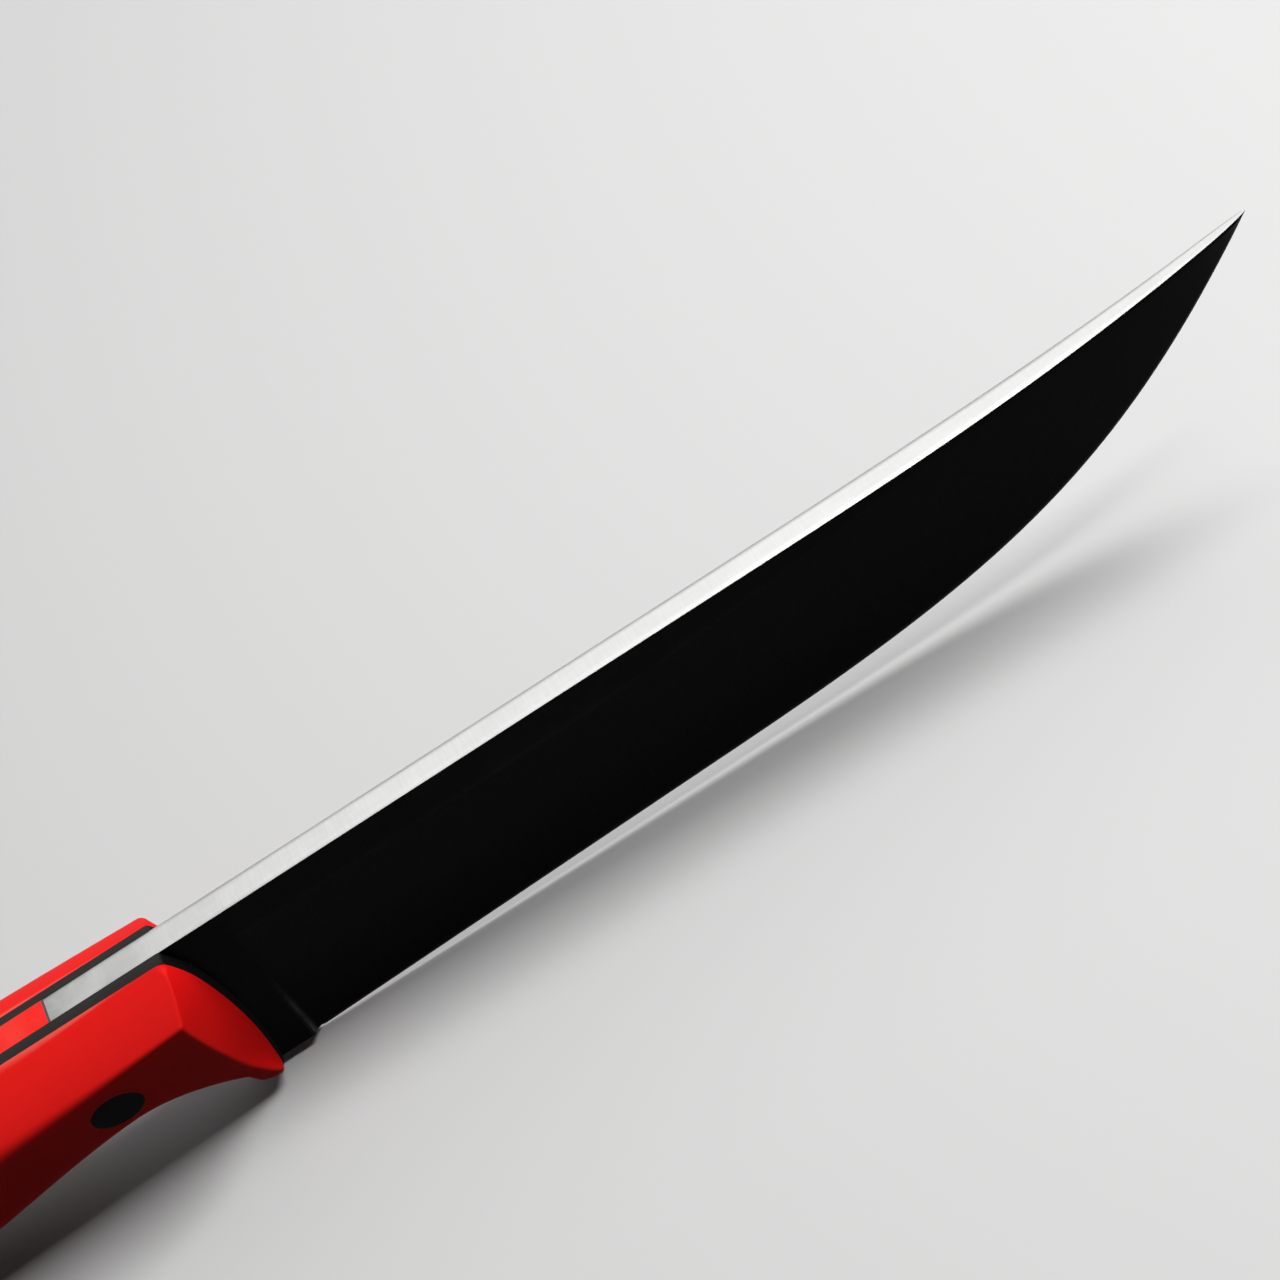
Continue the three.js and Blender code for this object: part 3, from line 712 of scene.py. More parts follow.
def scale_surface(h):
    """One grid over a scale: front facet, broken edge, skin, broken edge, butt facet. The skin's rows
    run between the two creases and crowd at both ends: u less a share of sin 2πu over 2π."""
    t = steps(*SKIN_COLUMNS)
    front = facet_crease(h, t, nose_line, nose_facet_slope, -h.facet_setback)
    back = facet_crease(h, t, butt_line, butt_facet_slope, -h.length)
    front_facet, front_broken = facet_rows(h, t, front, nose_line, nose_facet_slope, NOSE_FACET_ROWS)
    back_facet, back_broken = facet_rows(h, t, back, butt_line, butt_facet_slope, BUTT_FACET_ROWS)
    u = np.linspace(0, 1, SKIN_ROWS)
    crowd = u - SKIN_CROWDING * np.sin(2 * np.pi * u) / (2 * np.pi)
    x = lerp(front[:, 0] - front_broken, back[:, 0] + back_broken, crowd[:, None])
    y, z = scale_skin(h, x, np.broadcast_to(t, x.shape))
    skin = np.stack([x, y, z], -1)
    v = np.linspace(0, 1, BROKEN_EDGE_ROWS + 2)[1:-1, None, None]
    front_edge = bend(front_facet[-1], front, skin[0], v)
    back_edge = bend(skin[-1], back, back_facet[-1], v)
    grid = np.concatenate([front_facet, front_edge, skin, back_edge, back_facet[::-1]])
    # Painted highlight: the edge mark lightens the crown stretch next to the liners, growing from the front
    # towards the rear.
    sanded = eased(grid[..., 0], (-h.crown_highlight_start, 0), (-h.crown_highlight_full, h.crown_highlight_most))
    sanded = sanded * np.clip(1 - t, 0, 1)
    polished = np.zeros(grid.shape[:2])
    polished[:len(front_facet) + 2] = 1
    return grid, {"edge": sanded, "front": polished}


# Layers of the handle

def round_corner(before, corner, after, radius):
    """An arc that rounds one square corner of a side outline: centre plus radius times a turning way."""
    before, corner, after = np.array(before), np.array(corner), np.array(after)
    arriving = (corner - before) / np.linalg.norm(corner - before)
    leaving = (after - corner) / np.linalg.norm(after - corner)
    centre = corner - arriving * radius + leaving * radius
    turn = np.linspace(0, np.pi / 2, CORNER_POINTS)[:, None]
    return centre - leaving * radius * np.cos(turn) + arriving * radius * np.sin(turn)


def tang_corners(k, h, gap):
    """The hidden tang's outline behind both shoulders, grown by a gap, with every corner rounded."""
    top = -k.tang_depth + k.tang_height / 2 + gap
    bottom = -k.tang_depth - k.tang_height / 2 - gap
    end = k.tang_inset - h.length - gap
    spine_x = -k.spine_shoulder - gap
    belly_x = -k.belly_shoulder - gap
    inner = k.shoulder_radius - gap
    outer = k.tang_end_radius + gap
    return np.vstack([
        round_corner((spine_x, 0), (spine_x, top), (end, top), inner),
        round_corner((spine_x, top), (end, top), (end, bottom), outer),
        round_corner((end, top), (end, bottom), (belly_x, bottom), outer),
        round_corner((end, bottom), (belly_x, bottom), (belly_x, bottom - inner * 2), inner),
    ])


def outline_run(h, line, x0, x1, count):
    """Points along the top or the belly between two places."""
    x = np.linspace(x0, x1, count)
    return np.stack([x, line(h, x)], -1)


def tang_outline(k, h):
    """Side outline of the steel inside the handle: top, shoulder, tang, shoulder and belly."""
    top = [(-h.lip_flat, 0), (-k.spine_shoulder, 0)]
    belly = outline_run(h, belly_line, -k.belly_shoulder, -h.lip_flat, TANG_RUN_POINTS)
    return np.vstack([top, tang_corners(k, h, 0), belly])


def frame_outline(k, h):
    """Side outline of the frame: top, butt and belly outside, the tang's outline and its gap inside."""
    depth = np.linspace(h.top_drop, h.beak_depth, FRAME_BUTT_POINTS)
    butt = np.stack([butt_line(h, depth), -depth], -1)
    top = outline_run(h, top_line, -k.spine_shoulder - k.glue_gap, butt[0, 0], FRAME_RUN_POINTS)
    belly = outline_run(h, belly_line, butt[-1, 0], -k.belly_shoulder - k.glue_gap, FRAME_RUN_POINTS)
    return np.vstack([top, butt[1:-1], belly, tang_corners(k, h, k.glue_gap)[::-1]])


def slab(outline, half, roll=MM, drop=0.0):
    """A side outline carried straight across the mid-plane, closed by its two flat sides. Its level top
    falls towards both sides, within the roll, by the square of the way there times the drop."""
    left = np.linspace(half, half - roll, SLAB_ROLL_COLUMNS)
    right = np.linspace(roll - half, -half, SLAB_ROLL_COLUMNS)
    y = np.concatenate([left, right])
    top = outline[:, 1:] > outline[:, 1].max() - LEVEL_TOLERANCE
    z = outline[:, 1:] - top * drop * np.clip((np.abs(y) - half + roll) / roll, 0, 1) ** 2
    points = np.stack([np.broadcast_to(outline[:, :1], z.shape), np.broadcast_to(y, z.shape), z], -1)
    corners = grid_corners(*z.shape)
    return points.reshape(-1, 3), grid_quads(*z.shape, wrap_rows=True), [corners[:, 0], corners[:, -1]]


def tang_dulling(k, x):
    """How dull the bare steel is: it dies away along the spine by a power of e, and grows straight over the
    tang."""
    return np.where(x > 0, k.dull_front * np.exp(-np.maximum(x, 0) / k.dull_run),
                    np.clip(lerp(k.dull_front, 1, -x / k.dull_length), 0, 1))


def glue_outline(h, k, setback, line, inward):
    """Side outline of one glue joint: its width is the gap, and its face dips between the two pieces."""
    u = np.linspace(0, 1, GLUE_POINTS)
    x = -setback - k.glue_gap * u
    surface = line(h, x) + inward * k.glue_dip * (1 + 4 * u * (1 - u))
    face = np.stack([x, surface], -1)
    return np.vstack([face, face[::-1] + (0, inward * k.glue_depth)])


def liner_surface(h, lead):
    """The rim of a liner: loops of top, butt, belly and nose, one loop for each place across it. The
    top falls with the crown's circle and the front leads where the liner meets the steel. The belly's
    points crowd by a power towards the butt."""
    y = np.linspace(HALF_STEEL, HALF_LINER, LINER_COLUMNS)
    ahead = lead * (HALF_LINER - y) / (HALF_LINER - HALF_STEEL)
    front_drop = crown_drop(h, np.zeros(y.size), y)
    back_drop = h.top_drop + crown_drop(h, np.full(y.size, -h.length), y)
    foot = -belly_line(h, np.zeros(y.size))
    u = np.linspace(0, 1, LINER_LONG_ROWS, endpoint=False)[:, None]
    crowd = u ** LINER_CROWDING
    v = np.linspace(0, 1, LINER_END_ROWS, endpoint=False)[:, None]
    top_x = lerp(nose_line(h, front_drop) + ahead, butt_line(h, back_drop), u)
    top_z = top_line(h, top_x) - crown_drop(h, top_x, y)
    butt_depth = lerp(back_drop, h.beak_depth, v)
    belly_x = lerp(nose_line(h, foot) + ahead, butt_line(h, np.full(y.size, h.beak_depth)), 1 - crowd)
    nose_depth = lerp(foot, front_drop, v)
    loop_x = np.concatenate([top_x, butt_line(h, butt_depth), belly_x, nose_line(h, nose_depth) + ahead])
    loop_z = np.concatenate([top_z, -butt_depth, belly_line(h, belly_x), -nose_depth])
    polished = np.zeros(loop_x.shape)
    polished[-len(nose_depth):] = 1
    return np.stack([loop_x, np.broadcast_to(y, loop_x.shape), loop_z], -1), {"front": polished}


def skin_half_width(h, x, z):
    """Half width of a scale at places seen from the side: the skin's section is read off at that height."""
    t = np.linspace(0, SKIN_STRETCHES, SECTION_SAMPLES)
    across = np.broadcast_to(x[..., None], x.shape + t.shape)
    y, level = scale_skin(h, across, np.broadcast_to(t, across.shape))
    i = np.clip((level > z[..., None]).sum(-1) - 1, 0, t.size - 2)[..., None]
    upper, lower = np.take_along_axis(level, i, -1), np.take_along_axis(level, i + 1, -1)
    u = (upper - z[..., None]) / (upper - lower)
    return lerp(np.take_along_axis(y, i, -1), np.take_along_axis(y, i + 1, -1), u)[..., 0]


def pin_surface(h, k, centre, radius):
    """Rings from the middle of one end over its broken edge and along the rod to the other end. The
    ends follow the skin of the scales, a hair proud of it, and their rims are marked as edges."""
    edge = k.pin_edge / radius
    share = np.append(np.linspace(0, 1 - edge, PIN_RINGS), [1 - edge / 3, 1])
    lift = np.append(np.ones(PIN_RINGS), PIN_RIM_LIFTS) * k.pin_proud
    turn = np.linspace(0, 2 * np.pi, PIN_SIDES, endpoint=False)
    x = centre[0] + radius * share[:, None] * np.cos(turn)
    z = centre[1] + radius * share[:, None] * np.sin(turn)
    y = skin_half_width(h, x, z) + lift[:, None]
    end = np.stack([x, y, z], -1)
    rim = np.zeros(end.shape[:2])
    rim[PIN_RINGS - 1:-1] = 1
    rings = np.concatenate([end, end[::-1] * (1, -1, 1)])
    return rings, {"edge": np.concatenate([rim, rim[::-1]])}


# Finishes

def new_group(name, inputs, outputs):
    """A shader node group with named float inputs and outputs, and its two end nodes."""
    tree = bpy.data.node_groups.new(name, "ShaderNodeTree")
    for label, value in inputs.items():
        tree.interface.new_socket(label, in_out="INPUT", socket_type="NodeSocketFloat").default_value = value
    for label in outputs:
        tree.interface.new_socket(label, in_out="OUTPUT", socket_type="NodeSocketFloat")
    return tree, tree.nodes.new("NodeGroupInput"), tree.nodes.new("NodeGroupOutput")


def math_node(tree, operation, a, b=None, clamp=False):
    """The output of one math node fed by sockets or numbers."""
    node = tree.nodes.new("ShaderNodeMath")
    node.operation = operation
    node.use_clamp = clamp
    for socket, value in zip(node.inputs, (a, b)):
        if isinstance(value, bpy.types.NodeSocket):
            tree.links.new(value, socket)
        elif value is not None:
            socket.default_value = value
    return node.outputs[0]


def scaled(tree, value, factor, offset):
    """A value times a factor plus an offset, which may be a socket or a number."""
    node = tree.nodes.new("ShaderNodeMath")
    node.operation = "MULTIPLY_ADD"
    tree.links.new(value, node.inputs[0])
    node.inputs[1].default_value = factor
    if isinstance(offset, bpy.types.NodeSocket):
        tree.links.new(offset, node.inputs[2])
    else:
        node.inputs[2].default_value = offset
    return node.outputs[0]


def weighed(tree, a, a_share, b, b_share):
    """Two values added by their shares."""
    return scaled(tree, a, a_share, math_node(tree, "MULTIPLY", b, b_share))


def mark_value(tree, mark):
    """The value of one of the marks that a piece carries."""
    node = tree.nodes.new("ShaderNodeAttribute")
    node.attribute_name = mark
    return node.outputs["Fac"]


def stretched_noise(tree, per_mm, detail=2.0, roughness=0.55):
    """Noise on the piece's own places, with its count of features per millimetre along x, y and z."""
    place = tree.nodes.new("ShaderNodeTexCoord")
    mapping = tree.nodes.new("ShaderNodeMapping")
    mapping.inputs["Scale"].default_value = [count / MM for count in per_mm]
    noise = tree.nodes.new("ShaderNodeTexNoise")
    noise.inputs["Scale"].default_value = 1
    noise.inputs["Detail"].default_value = detail
    noise.inputs["Roughness"].default_value = roughness
    tree.links.new(place.outputs["Object"], mapping.inputs["Vector"])
    tree.links.new(mapping.outputs["Vector"], noise.inputs["Vector"])
    return noise.outputs["Fac"]


def ramp(tree, value, low, high):
    """A value stretched so that low becomes 0 and high becomes 1, eased at both."""
    node = tree.nodes.new("ShaderNodeMapRange")
    node.interpolation_type = "SMOOTHSTEP"
    node.inputs["From Min"].default_value = low
    node.inputs["From Max"].default_value = high
    tree.links.new(value, node.inputs["Value"])
    return node.outputs["Result"]


def laminate_grain():
    """Pressed fibre sheet: threads along x and z, thin sheets stacked along y, cloudy resin between,
    and short sanding scratches along the handle."""
    tree, _, out = new_group("laminate_grain", {}, ["Fibre", "Cloud", "Scratch"])
    along = ramp(tree, stretched_noise(tree, (0.5, 5.0, 5.0)), 0.3, 0.7)
    upright = ramp(tree, stretched_noise(tree, (5.0, 5.0, 0.5)), 0.3, 0.7)
    sheets = ramp(tree, stretched_noise(tree, (0.05, 3.2, 0.05)), 0.35, 0.65)
    threads = math_node(tree, "MAXIMUM", along, upright)
    tree.links.new(weighed(tree, sheets, 0.4, threads, 0.6), out.inputs["Fibre"])
    tree.links.new(ramp(tree, stretched_noise(tree, (0.16, 0.16, 0.16), 3.0), 0.3, 0.7), out.inputs["Cloud"])
    tree.links.new(stretched_noise(tree, (1.2, 7.0, 7.0), 3.0), out.inputs["Scratch"])
    return tree


def ground_marks():
    """Belt-ground steel: fine marks straight across the knife in two sizes, and slow clouds along it."""
    tree, _, out = new_group("ground_marks", {}, ["Marks", "Clouds"])
    coarse = ramp(tree, stretched_noise(tree, (2.2, 0.12, 0.12), 2.0), 0.32, 0.68)
    fine = ramp(tree, stretched_noise(tree, (8.0, 0.3, 0.3), 2.0), 0.3, 0.7)
    tree.links.new(weighed(tree, coarse, 0.5, fine, 0.5), out.inputs["Marks"])
    tree.links.new(ramp(tree, stretched_noise(tree, (0.12, 0.5, 0.12), 3.0), 0.3, 0.7), out.inputs["Clouds"])
    return tree


def edge_wear_and_highlight():
    """Sanded edges and painted highlights: the piece's edge mark, broken up by grain and held between 0 and
    1. On the pins the mark is a sanded, worn rim; on the blade and the scales' crown it paints a highlight,
    and over the frame a sheen.
    """
    tree, ins, out = new_group("edge_wear_and_highlight", {"Grain": 0.5}, ["Wear"])
    grain = math_node(tree, "ADD", ins.outputs["Grain"], 0.4)
    patchy = math_node(tree, "MULTIPLY", mark_value(tree, "edge"), grain, clamp=True)
    tree.links.new(patchy, out.inputs["Wear"])
    return tree


def place_group(tree, group):
    """A node that holds a shared group."""
    node = tree.nodes.new("ShaderNodeGroup")
    node.node_tree = group
    return node


def mix_colour(tree, factor, a, b):
    """A colour between a and b, each a socket or a colour."""
    node = tree.nodes.new("ShaderNodeMix")
    node.data_type = "RGBA"
    tree.links.new(factor, node.inputs["Factor"])
    for socket, value in zip((node.inputs[6], node.inputs[7]), (a, b)):
        if isinstance(value, bpy.types.NodeSocket):
            tree.links.new(value, socket)
        else:
            socket.default_value = (*value, 1)
    return node.outputs[2]


def mix_value(tree, factor, a, b):
    """A value between the sockets a and b."""
    node = tree.nodes.new("ShaderNodeMix")
    for socket, value in zip(node.inputs[:1] + node.inputs[2:4], (factor, a, b)):
        tree.links.new(value, socket)
    return node.outputs[0]


def new_material(name):
    """A material with a bare Principled shader, its nodes and that shader."""
    material = bpy.data.materials.new(name)
    material.use_nodes = True
    return material, material.node_tree, material.node_tree.nodes["Principled BSDF"]


def add_bump(tree, shader, height, depth, strength):
    """Fine relief of a given depth on the shader's normal."""
    node = tree.nodes.new("ShaderNodeBump")
    node.inputs["Strength"].default_value = strength
    node.inputs["Distance"].default_value = depth
    tree.links.new(height, node.inputs["Height"])
    tree.links.new(node.outputs["Normal"], shader.inputs["Normal"])


def laminate(name, groups, colours, rough, specular):
    """Sanded fibre laminate: fibre over resin, a polished front, sanded edges, and scratches in gloss and
    relief. On the red the edge colour paints a highlight along the scales' crown and a sheen over the frame.
    The colours are fibre, resin, sanded edge and polished front."""
    fibre, resin, sanded, polished = colours
    tree, shader = new_material(name)[1:]
    grain = place_group(tree, groups["grain"])
    wear_and_highlight = place_group(tree, groups["wear_and_highlight"])
    tree.links.new(grain.outputs["Cloud"], wear_and_highlight.inputs["Grain"])
    body = weighed(tree, grain.outputs["Cloud"], 0.3, grain.outputs["Fibre"], 0.7)
    tinted = mix_colour(tree, mark_value(tree, "front"), mix_colour(tree, body, resin, fibre), polished)
    gloss = scaled(tree, grain.outputs["Scratch"], factor=0.16, offset=rough)
    # The edge colour is a sanded, worn rim on the pins, and a painted highlight and sheen on the red.
    tree.links.new(mix_colour(tree, wear_and_highlight.outputs["Wear"], tinted, sanded), shader.inputs["Base Color"])
    tree.links.new(gloss, shader.inputs["Roughness"])
    add_bump(tree, shader, grain.outputs["Scratch"], depth=0.012 * MM, strength=0.25)
    shader.inputs["Specular IOR Level"].default_value = specular


def black_steel(name, groups, colours):
    """Dark ground steel: marks across the knife in colour, gloss and relief, and a highlight painted along
    the plunge and the grind's shoulder. The colours are the marks, the steel between them and the painted
    highlight."""
    marked, between, highlighted = colours
    tree, shader = new_material(name)[1:]
    marks = place_group(tree, groups["marks"])
    wear_and_highlight = place_group(tree, groups["wear_and_highlight"])
    tree.links.new(marks.outputs["Clouds"], wear_and_highlight.inputs["Grain"])
    tinted = mix_colour(tree, marks.outputs["Marks"], between, marked)
    # The painted highlight colour goes where the edge mark lies.
    tree.links.new(mix_colour(tree, wear_and_highlight.outputs["Wear"], tinted, highlighted), shader.inputs["Base Color"])
    gloss = scaled(tree, marks.outputs["Marks"], factor=-0.1, offset=0.36)
    tree.links.new(gloss, shader.inputs["Roughness"])
    add_bump(tree, shader, marks.outputs["Marks"], depth=0.006 * MM, strength=0.3)
    shader.inputs["Specular IOR Level"].default_value = 0.016


def bare_steel(name, groups, colours):
    """Bright steel, ground across on the spine and sanded lengthwise with the handle on the tang. The
    colours are the marks, the steel between them, the clean tang and its smudges."""
    marked, between, clean, smudged = colours
    tree, shader = new_material(name)[1:]
    marks = place_group(tree, groups["marks"])
    grain = place_group(tree, groups["grain"])
    sanded = mark_value(tree, "sanded")
    clouded = weighed(tree, marks.outputs["Clouds"], 0.4, marks.outputs["Marks"], 0.6)
    smudges = weighed(tree, grain.outputs["Scratch"], 0.5, grain.outputs["Cloud"], 0.7)
    ground = mix_colour(tree, clouded, between, marked)
    tang = mix_colour(tree, smudges, smudged, clean)
    relief = mix_value(tree, sanded, marks.outputs["Marks"], grain.outputs["Scratch"])
    gloss = scaled(tree, relief, factor=-0.1, offset=0.42)
    tree.links.new(mix_colour(tree, sanded, ground, tang), shader.inputs["Base Color"])
    tree.links.new(gloss, shader.inputs["Roughness"])
    add_bump(tree, shader, relief, depth=0.006 * MM, strength=0.3)
    shader.inputs["Metallic"].default_value = 1


def knife_materials():
    """Every finish of the knife, made once and then found by name."""
    if "sanded_red" in bpy.data.materials:
        return bpy.data.materials
    f = bpy.context.scene.knife_finish
    groups = {"grain": laminate_grain(), "marks": ground_marks(), "wear_and_highlight": edge_wear_and_highlight()}
    # The red's edge colour is the painted highlight and sheen.
    red = (f.red, f.red_deep, f.red_sheen, f.red_front)
    liner = (f.liner, f.liner_deep, f.liner, f.liner_front)
    pin = (f.pin, f.pin_deep, f.pin_worn, f.pin)
    glue = (f.glue, f.glue_deep, f.glue, f.glue)
    laminate("sanded_red", groups, red, rough=0.54, specular=0.085)
    laminate("sanded_black", groups, liner, rough=0.54, specular=0.06)
    laminate("sanded_rod", groups, pin, rough=0.40, specular=0.012)
    laminate("joint_glue", groups, glue, rough=0.45, specular=0.15)
    black_steel("ground_black", groups, (f.black_steel, f.black_steel_dull, f.black_steel_highlight))
    bare = (f.bare_steel, f.bare_steel_dull, f.tang_steel, f.tang_steel_dull)
    bare_steel("ground_bare", groups, bare)
    return bpy.data.materials


# Stage

def way_to(azimuth, elevation):
    """The way out at an azimuth, turned from the right side towards the tip, and an elevation."""
    level = math.cos(elevation)
    return Vector((math.sin(azimuth) * level, -math.cos(azimuth) * level, math.sin(elevation)))


def aim_point(s):
    """The place on the mid-plane that the camera and the lamps look at."""
    return Vector((knife_front() + s.aim_setout, 0, SPINE_Z - s.aim_drop))


def seen_rays(tree):
    """1 for rays of the eye, of reflections and of light let through, and 0 for light that is given back."""
    path = tree.nodes.new("ShaderNodeLightPath")
    seen = math_node(tree, "MAXIMUM", path.outputs["Is Camera Ray"], path.outputs["Is Glossy Ray"])
    return math_node(tree, "MAXIMUM", seen, path.outputs["Is Transmission Ray"])


def add_floor(s):
    """A wide plain floor, pale to the eye and in reflections, and darker in the light that it gives back.
    Far from the knife it passes into the room's colour."""
    half = s.floor_width / 2
    mesh = bpy.data.meshes.new("studio_floor")
    corners = [(-half, -half, 0), (half, -half, 0), (half, half, 0), (-half, half, 0)]
    mesh.from_pydata(corners, [], [(0, 1, 2, 3)])
    material, tree, shader = new_material("studio_floor")
    seen = seen_rays(tree)
    f = bpy.context.scene.knife_finish
    tree.links.new(mix_colour(tree, seen, f.floor_bounce, f.floor), shader.inputs["Base Color"])
    shader.inputs["Roughness"].default_value = 0.9
    shader.inputs["Specular IOR Level"].default_value = 0.1
    place = tree.nodes.new("ShaderNodeTexCoord")
    away = tree.nodes.new("ShaderNodeVectorMath")
    away.operation = "LENGTH"
    tree.links.new(place.outputs["Object"], away.inputs[0])
    far = ramp(tree, away.outputs["Value"], s.floor_lit, s.floor_end)
    glow = tree.nodes.new("ShaderNodeEmission")
    glow.inputs["Color"].default_value = (*f.room, 1)
    mix = tree.nodes.new("ShaderNodeMixShader")
    tree.links.new(math_node(tree, "MULTIPLY", seen, far), mix.inputs[0])
    tree.links.new(shader.outputs["BSDF"], mix.inputs[1])
    tree.links.new(glow.outputs["Emission"], mix.inputs[2])
    tree.links.new(mix.outputs["Shader"], tree.nodes["Material Output"].inputs["Surface"])
    mesh.materials.append(material)
    floor = bpy.data.objects.new("studio_floor", mesh)
    bpy.context.scene.collection.objects.link(floor)


def add_softbox(name, s, way, width, power):
    """A square lamp on a ball round the aim point, facing it."""
    lamp = bpy.data.lights.new(name, "AREA")
    lamp.shape = "SQUARE"
    lamp.size = width
    lamp.energy = power
    holder = bpy.data.objects.new(name, lamp)
    turned = way.to_track_quat("Z", "Y").to_matrix().to_4x4()
    holder.matrix_world = Matrix.Translation(aim_point(s) + way * s.lamp_distance) @ turned
    bpy.context.scene.collection.objects.link(holder)


def add_room(s):
    """Even dim light from all round. To the eye and in reflections the room is pale at the level of the
    floor and darker overhead."""
    world = bpy.data.worlds.new("studio_room")
    world.use_nodes = True
    tree = world.node_tree
    f = bpy.context.scene.knife_finish
    way = tree.nodes.new("ShaderNodeTexCoord")
    parts = tree.nodes.new("ShaderNodeSeparateXYZ")
    tree.links.new(way.outputs["Generated"], parts.inputs["Vector"])
    walls = mix_colour(tree, ramp(tree, parts.outputs["Z"], low=0.05, high=0.6), f.room, f.room_overhead)
    light = mix_colour(tree, seen_rays(tree), (s.room_level, s.room_level, s.room_level), walls)
    background = tree.nodes["Background"]
    tree.links.new(light, background.inputs["Color"])
    background.inputs["Strength"].default_value = 1
    bpy.context.scene.world = world


def add_camera(s):
    """A camera on a ball round the aim point, level with the floor and then rolled about its sight."""
    lens = bpy.data.cameras.new("photo_camera")
    lens.sensor_width = 36
    lens.lens = s.lens
    lens.clip_start = 0.01
    way = way_to(s.azimuth, s.elevation)
    right = Vector((0, 0, 1)).cross(way).normalized()
    level = Matrix((right, way.cross(right), way)).transposed().to_4x4()
    camera = bpy.data.objects.new("photo_camera", lens)
    place = Matrix.Translation(aim_point(s) + way * s.distance)
    camera.matrix_world = place @ level @ Matrix.Rotation(-s.roll, 4, "Z")
    bpy.context.scene.collection.objects.link(camera)
    bpy.context.scene.camera = camera


# Operators

class KNIFE_OT_blade(bpy.types.Operator):
    """Build the ground blade and its tang"""

    bl_idname = "knife.blade"
    bl_label = "Blade"

    def execute(self, context):
        b, h, k = context.scene.knife_blade, context.scene.knife_handle, context.scene.knife_layers
        rings, column, highlight = blade_surface(b, h.lip_flat)
        rows, columns = rings.shape[:2]
        corners = grid_corners(rows, columns)
        ring_quads = grid_quads(rows, columns, wrap_columns=True)
        tang, tang_quads, tang_caps = slab(tang_outline(k, h), HALF_STEEL, b.spine_roll, b.tang_roll_drop)
        points = np.vstack([rings.reshape(-1, 3), tang])
        quads = np.vstack([ring_quads, tang_quads + corners.size])
        caps = [corners[0], corners[-1], *(cap + corners.size for cap in tang_caps)]
        middle = (column + np.roll(column, -1)) / 2
        bare = np.ones(len(quads) + len(caps))
        bare[:len(ring_quads)] = np.tile(middle < BARE_STRETCHES, rows - 1)
        # The edge mark paints a highlight along the plunge and the grind's shoulder; the tang gets none.
        edge = np.append(highlight.ravel(), np.zeros(len(tang)))
        marks = {"edge": edge, "sanded": tang_dulling(k, points[:, 0])}
        m = knife_materials()
        materials = [m["ground_black"], m["ground_bare"]]
        piece = make_piece("ground_blade", points, quads, caps, materials, bare, marks, BLADE_SHARP_ANGLE)
        dress(piece, "blade_steel", "blade")
        return {"FINISHED"}


class KNIFE_OT_frame(bpy.types.Operator):
    """Build the red frame round the tang and the glue lines in its joints"""

    bl_idname = "knife.frame"
    bl_label = "Tang Frame"

    def execute(self, context):
        h, k = context.scene.knife_handle, context.scene.knife_layers
        m = knife_materials()
        points, quads, caps = slab(frame_outline(k, h), HALF_STEEL)
        # Painted sheen: the edge mark mixes the paler red evenly over the whole frame.
        marks = {"edge": np.full(len(points), k.frame_sheen)}
        frame_piece = make_piece("red_frame", points, quads, caps, [m["sanded_red"]], marks=marks)
        dress(frame_piece, "red_laminate", "tang_frame")
        joints = {
            "glue_line_top": glue_outline(h, k, k.spine_shoulder, top_line, -1),
            "glue_line_belly": glue_outline(h, k, k.belly_shoulder, belly_line, 1),
        }
        for name, outline in joints.items():
            points, quads, caps = slab(outline, HALF_STEEL)
            dress(make_piece(name, points, quads, caps, [m["joint_glue"]]), "black_liner")
        return {"FINISHED"}


class KNIFE_OT_liners(bpy.types.Operator):
    """Build the two black liners"""

    bl_idname = "knife.liners"
    bl_label = "Liners"

    def execute(self, context):
        h, k = context.scene.knife_handle, context.scene.knife_layers
        m = knife_materials()
        loops, marks = liner_surface(h, k.liner_lead)
        rows, columns = loops.shape[:2]
        corners = grid_corners(rows, columns)
        quads = grid_quads(rows, columns, wrap_rows=True)
        caps = [corners[:, 0], corners[:, -1]]
        for side, way in SIDES.items():
            points = loops * (1, way, 1)
            piece = make_piece(f"black_liner_{side}", points, quads, caps, [m["sanded_black"]], marks=marks)
            dress(piece, "black_liner", f"liner_{side}")
        return {"FINISHED"}


class KNIFE_OT_scales(bpy.types.Operator):
    """Build the two red handle scales"""

    bl_idname = "knife.scales"
    bl_label = "Scales"

    def execute(self, context):
        h = context.scene.knife_handle
        m = knife_materials()
        grid, marks = scale_surface(h)
        rows, columns = grid.shape[:2]
        corners = grid_corners(rows, columns)
        inner = np.concatenate([corners[:, 0], corners[-1, 1:], corners[-2::-1, -1], corners[0, -2:0:-1]])
        quads = grid_quads(rows, columns)
        for side, way in SIDES.items():
            points = grid * (1, way, 1)
            piece = make_piece(f"red_scale_{side}", points, quads, [inner], [m["sanded_red"]], marks=marks)
            dress(piece, "red_laminate", f"scale_{side}")
        return {"FINISHED"}


class KNIFE_OT_pins(bpy.types.Operator):
    """Build the two black pins"""

    bl_idname = "knife.pins"
    bl_label = "Pins"

    def execute(self, context):
        h, k = context.scene.knife_handle, context.scene.knife_layers
        m = knife_materials()
        for place in ("front", "rear"):
            low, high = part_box(f"{place}_pin")
            centre = ((low.x + high.x) / 2 - knife_front(), (low.z + high.z) / 2 - SPINE_Z)
            rings, marks = pin_surface(h, k, centre, (high.x - low.x) / 2)
            quads = grid_quads(*rings.shape[:2], wrap_columns=True)
            piece = make_piece(f"black_pin_{place}", rings, quads, [], [m["sanded_rod"]], marks=marks)
            dress(piece, "black_pin", f"{place}_pin")
        return {"FINISHED"}


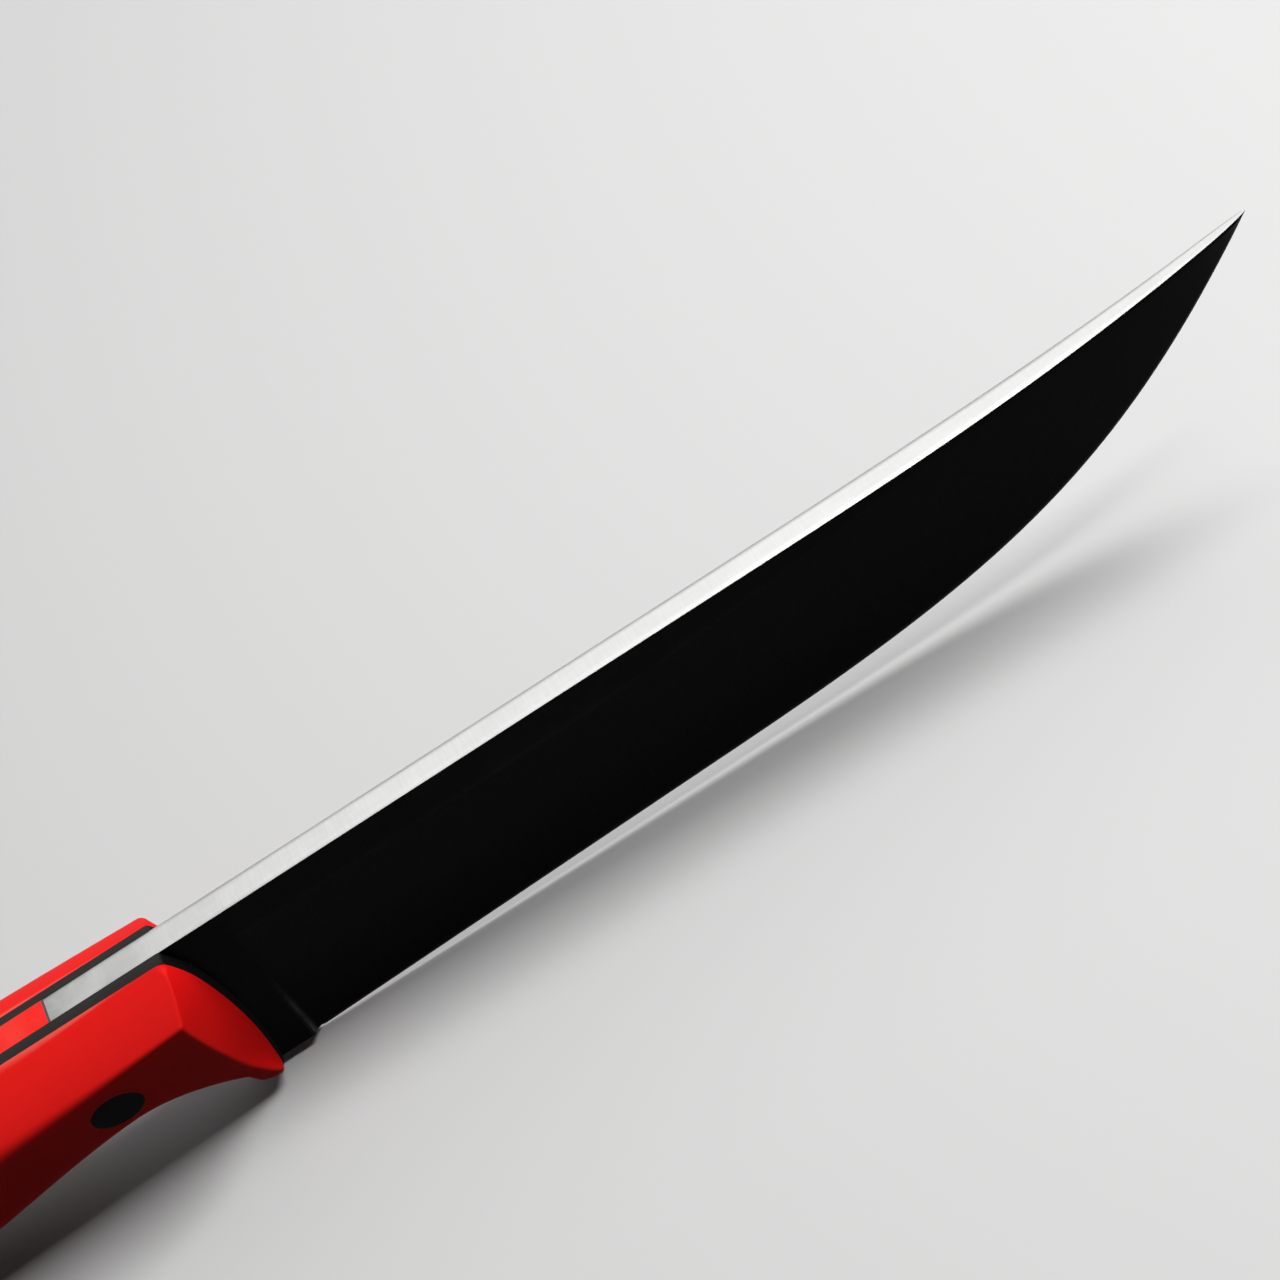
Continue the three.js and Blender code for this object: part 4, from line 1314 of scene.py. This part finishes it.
class KNIFE_OT_stage(bpy.types.Operator):
    """Build the floor, the lamps, the room's light and the camera"""

    bl_idname = "knife.stage"
    bl_label = "Stage"

    def execute(self, context):
        s = context.scene.knife_stage
        add_floor(s)
        add_softbox("key_softbox", s, way_to(s.key_azimuth, s.key_elevation), s.key_width, s.key_power)
        add_softbox("back_softbox", s, way_to(s.back_azimuth, s.back_elevation), s.back_width, s.back_power)
        add_room(s)
        add_camera(s)
        context.scene.view_settings.view_transform = "Standard"
        return {"FINISHED"}


class KNIFE_PT_panel(bpy.types.Panel):
    """Lists the knife's sizes, finishes and pieces in the sidebar"""

    bl_label = "Pchak Knife"
    bl_idname = "KNIFE_PT_panel"
    bl_space_type = "VIEW_3D"
    bl_region_type = "UI"
    bl_category = "Knife"

    def draw(self, context):
        for group in SETTINGS:
            box = self.layout.box()
            settings = getattr(context.scene, group)
            for name in settings.__annotations__:
                box.prop(settings, name)
        for operator in OPERATORS:
            self.layout.operator(operator.bl_idname)


SETTINGS = {
    "knife_blade": KnifeBlade,
    "knife_handle": KnifeHandle,
    "knife_layers": KnifeLayers,
    "knife_finish": KnifeFinish,
    "knife_stage": KnifeStage,
}
OPERATORS = (KNIFE_OT_blade, KNIFE_OT_frame, KNIFE_OT_liners, KNIFE_OT_scales, KNIFE_OT_pins, KNIFE_OT_stage)


def register():
    """Registers every class and gives the scene its settings."""
    for group, settings in SETTINGS.items():
        bpy.utils.register_class(settings)
        setattr(bpy.types.Scene, group, PointerProperty(type=settings))
    for cls in (*OPERATORS, KNIFE_PT_panel):
        bpy.utils.register_class(cls)


def unregister():
    """Takes away what register added, in the opposite order."""
    for cls in (KNIFE_PT_panel, *reversed(OPERATORS)):
        bpy.utils.unregister_class(cls)
    for group, settings in reversed(SETTINGS.items()):
        delattr(bpy.types.Scene, group)
        bpy.utils.unregister_class(settings)


def main():
    """Builds the pieces and the stage."""
    register()
    bpy.ops.knife.blade()
    bpy.ops.knife.frame()
    bpy.ops.knife.liners()
    bpy.ops.knife.scales()
    bpy.ops.knife.pins()
    bpy.ops.knife.stage()
    bpy.context.view_layer.update()


if __name__ == "__main__":
    main()
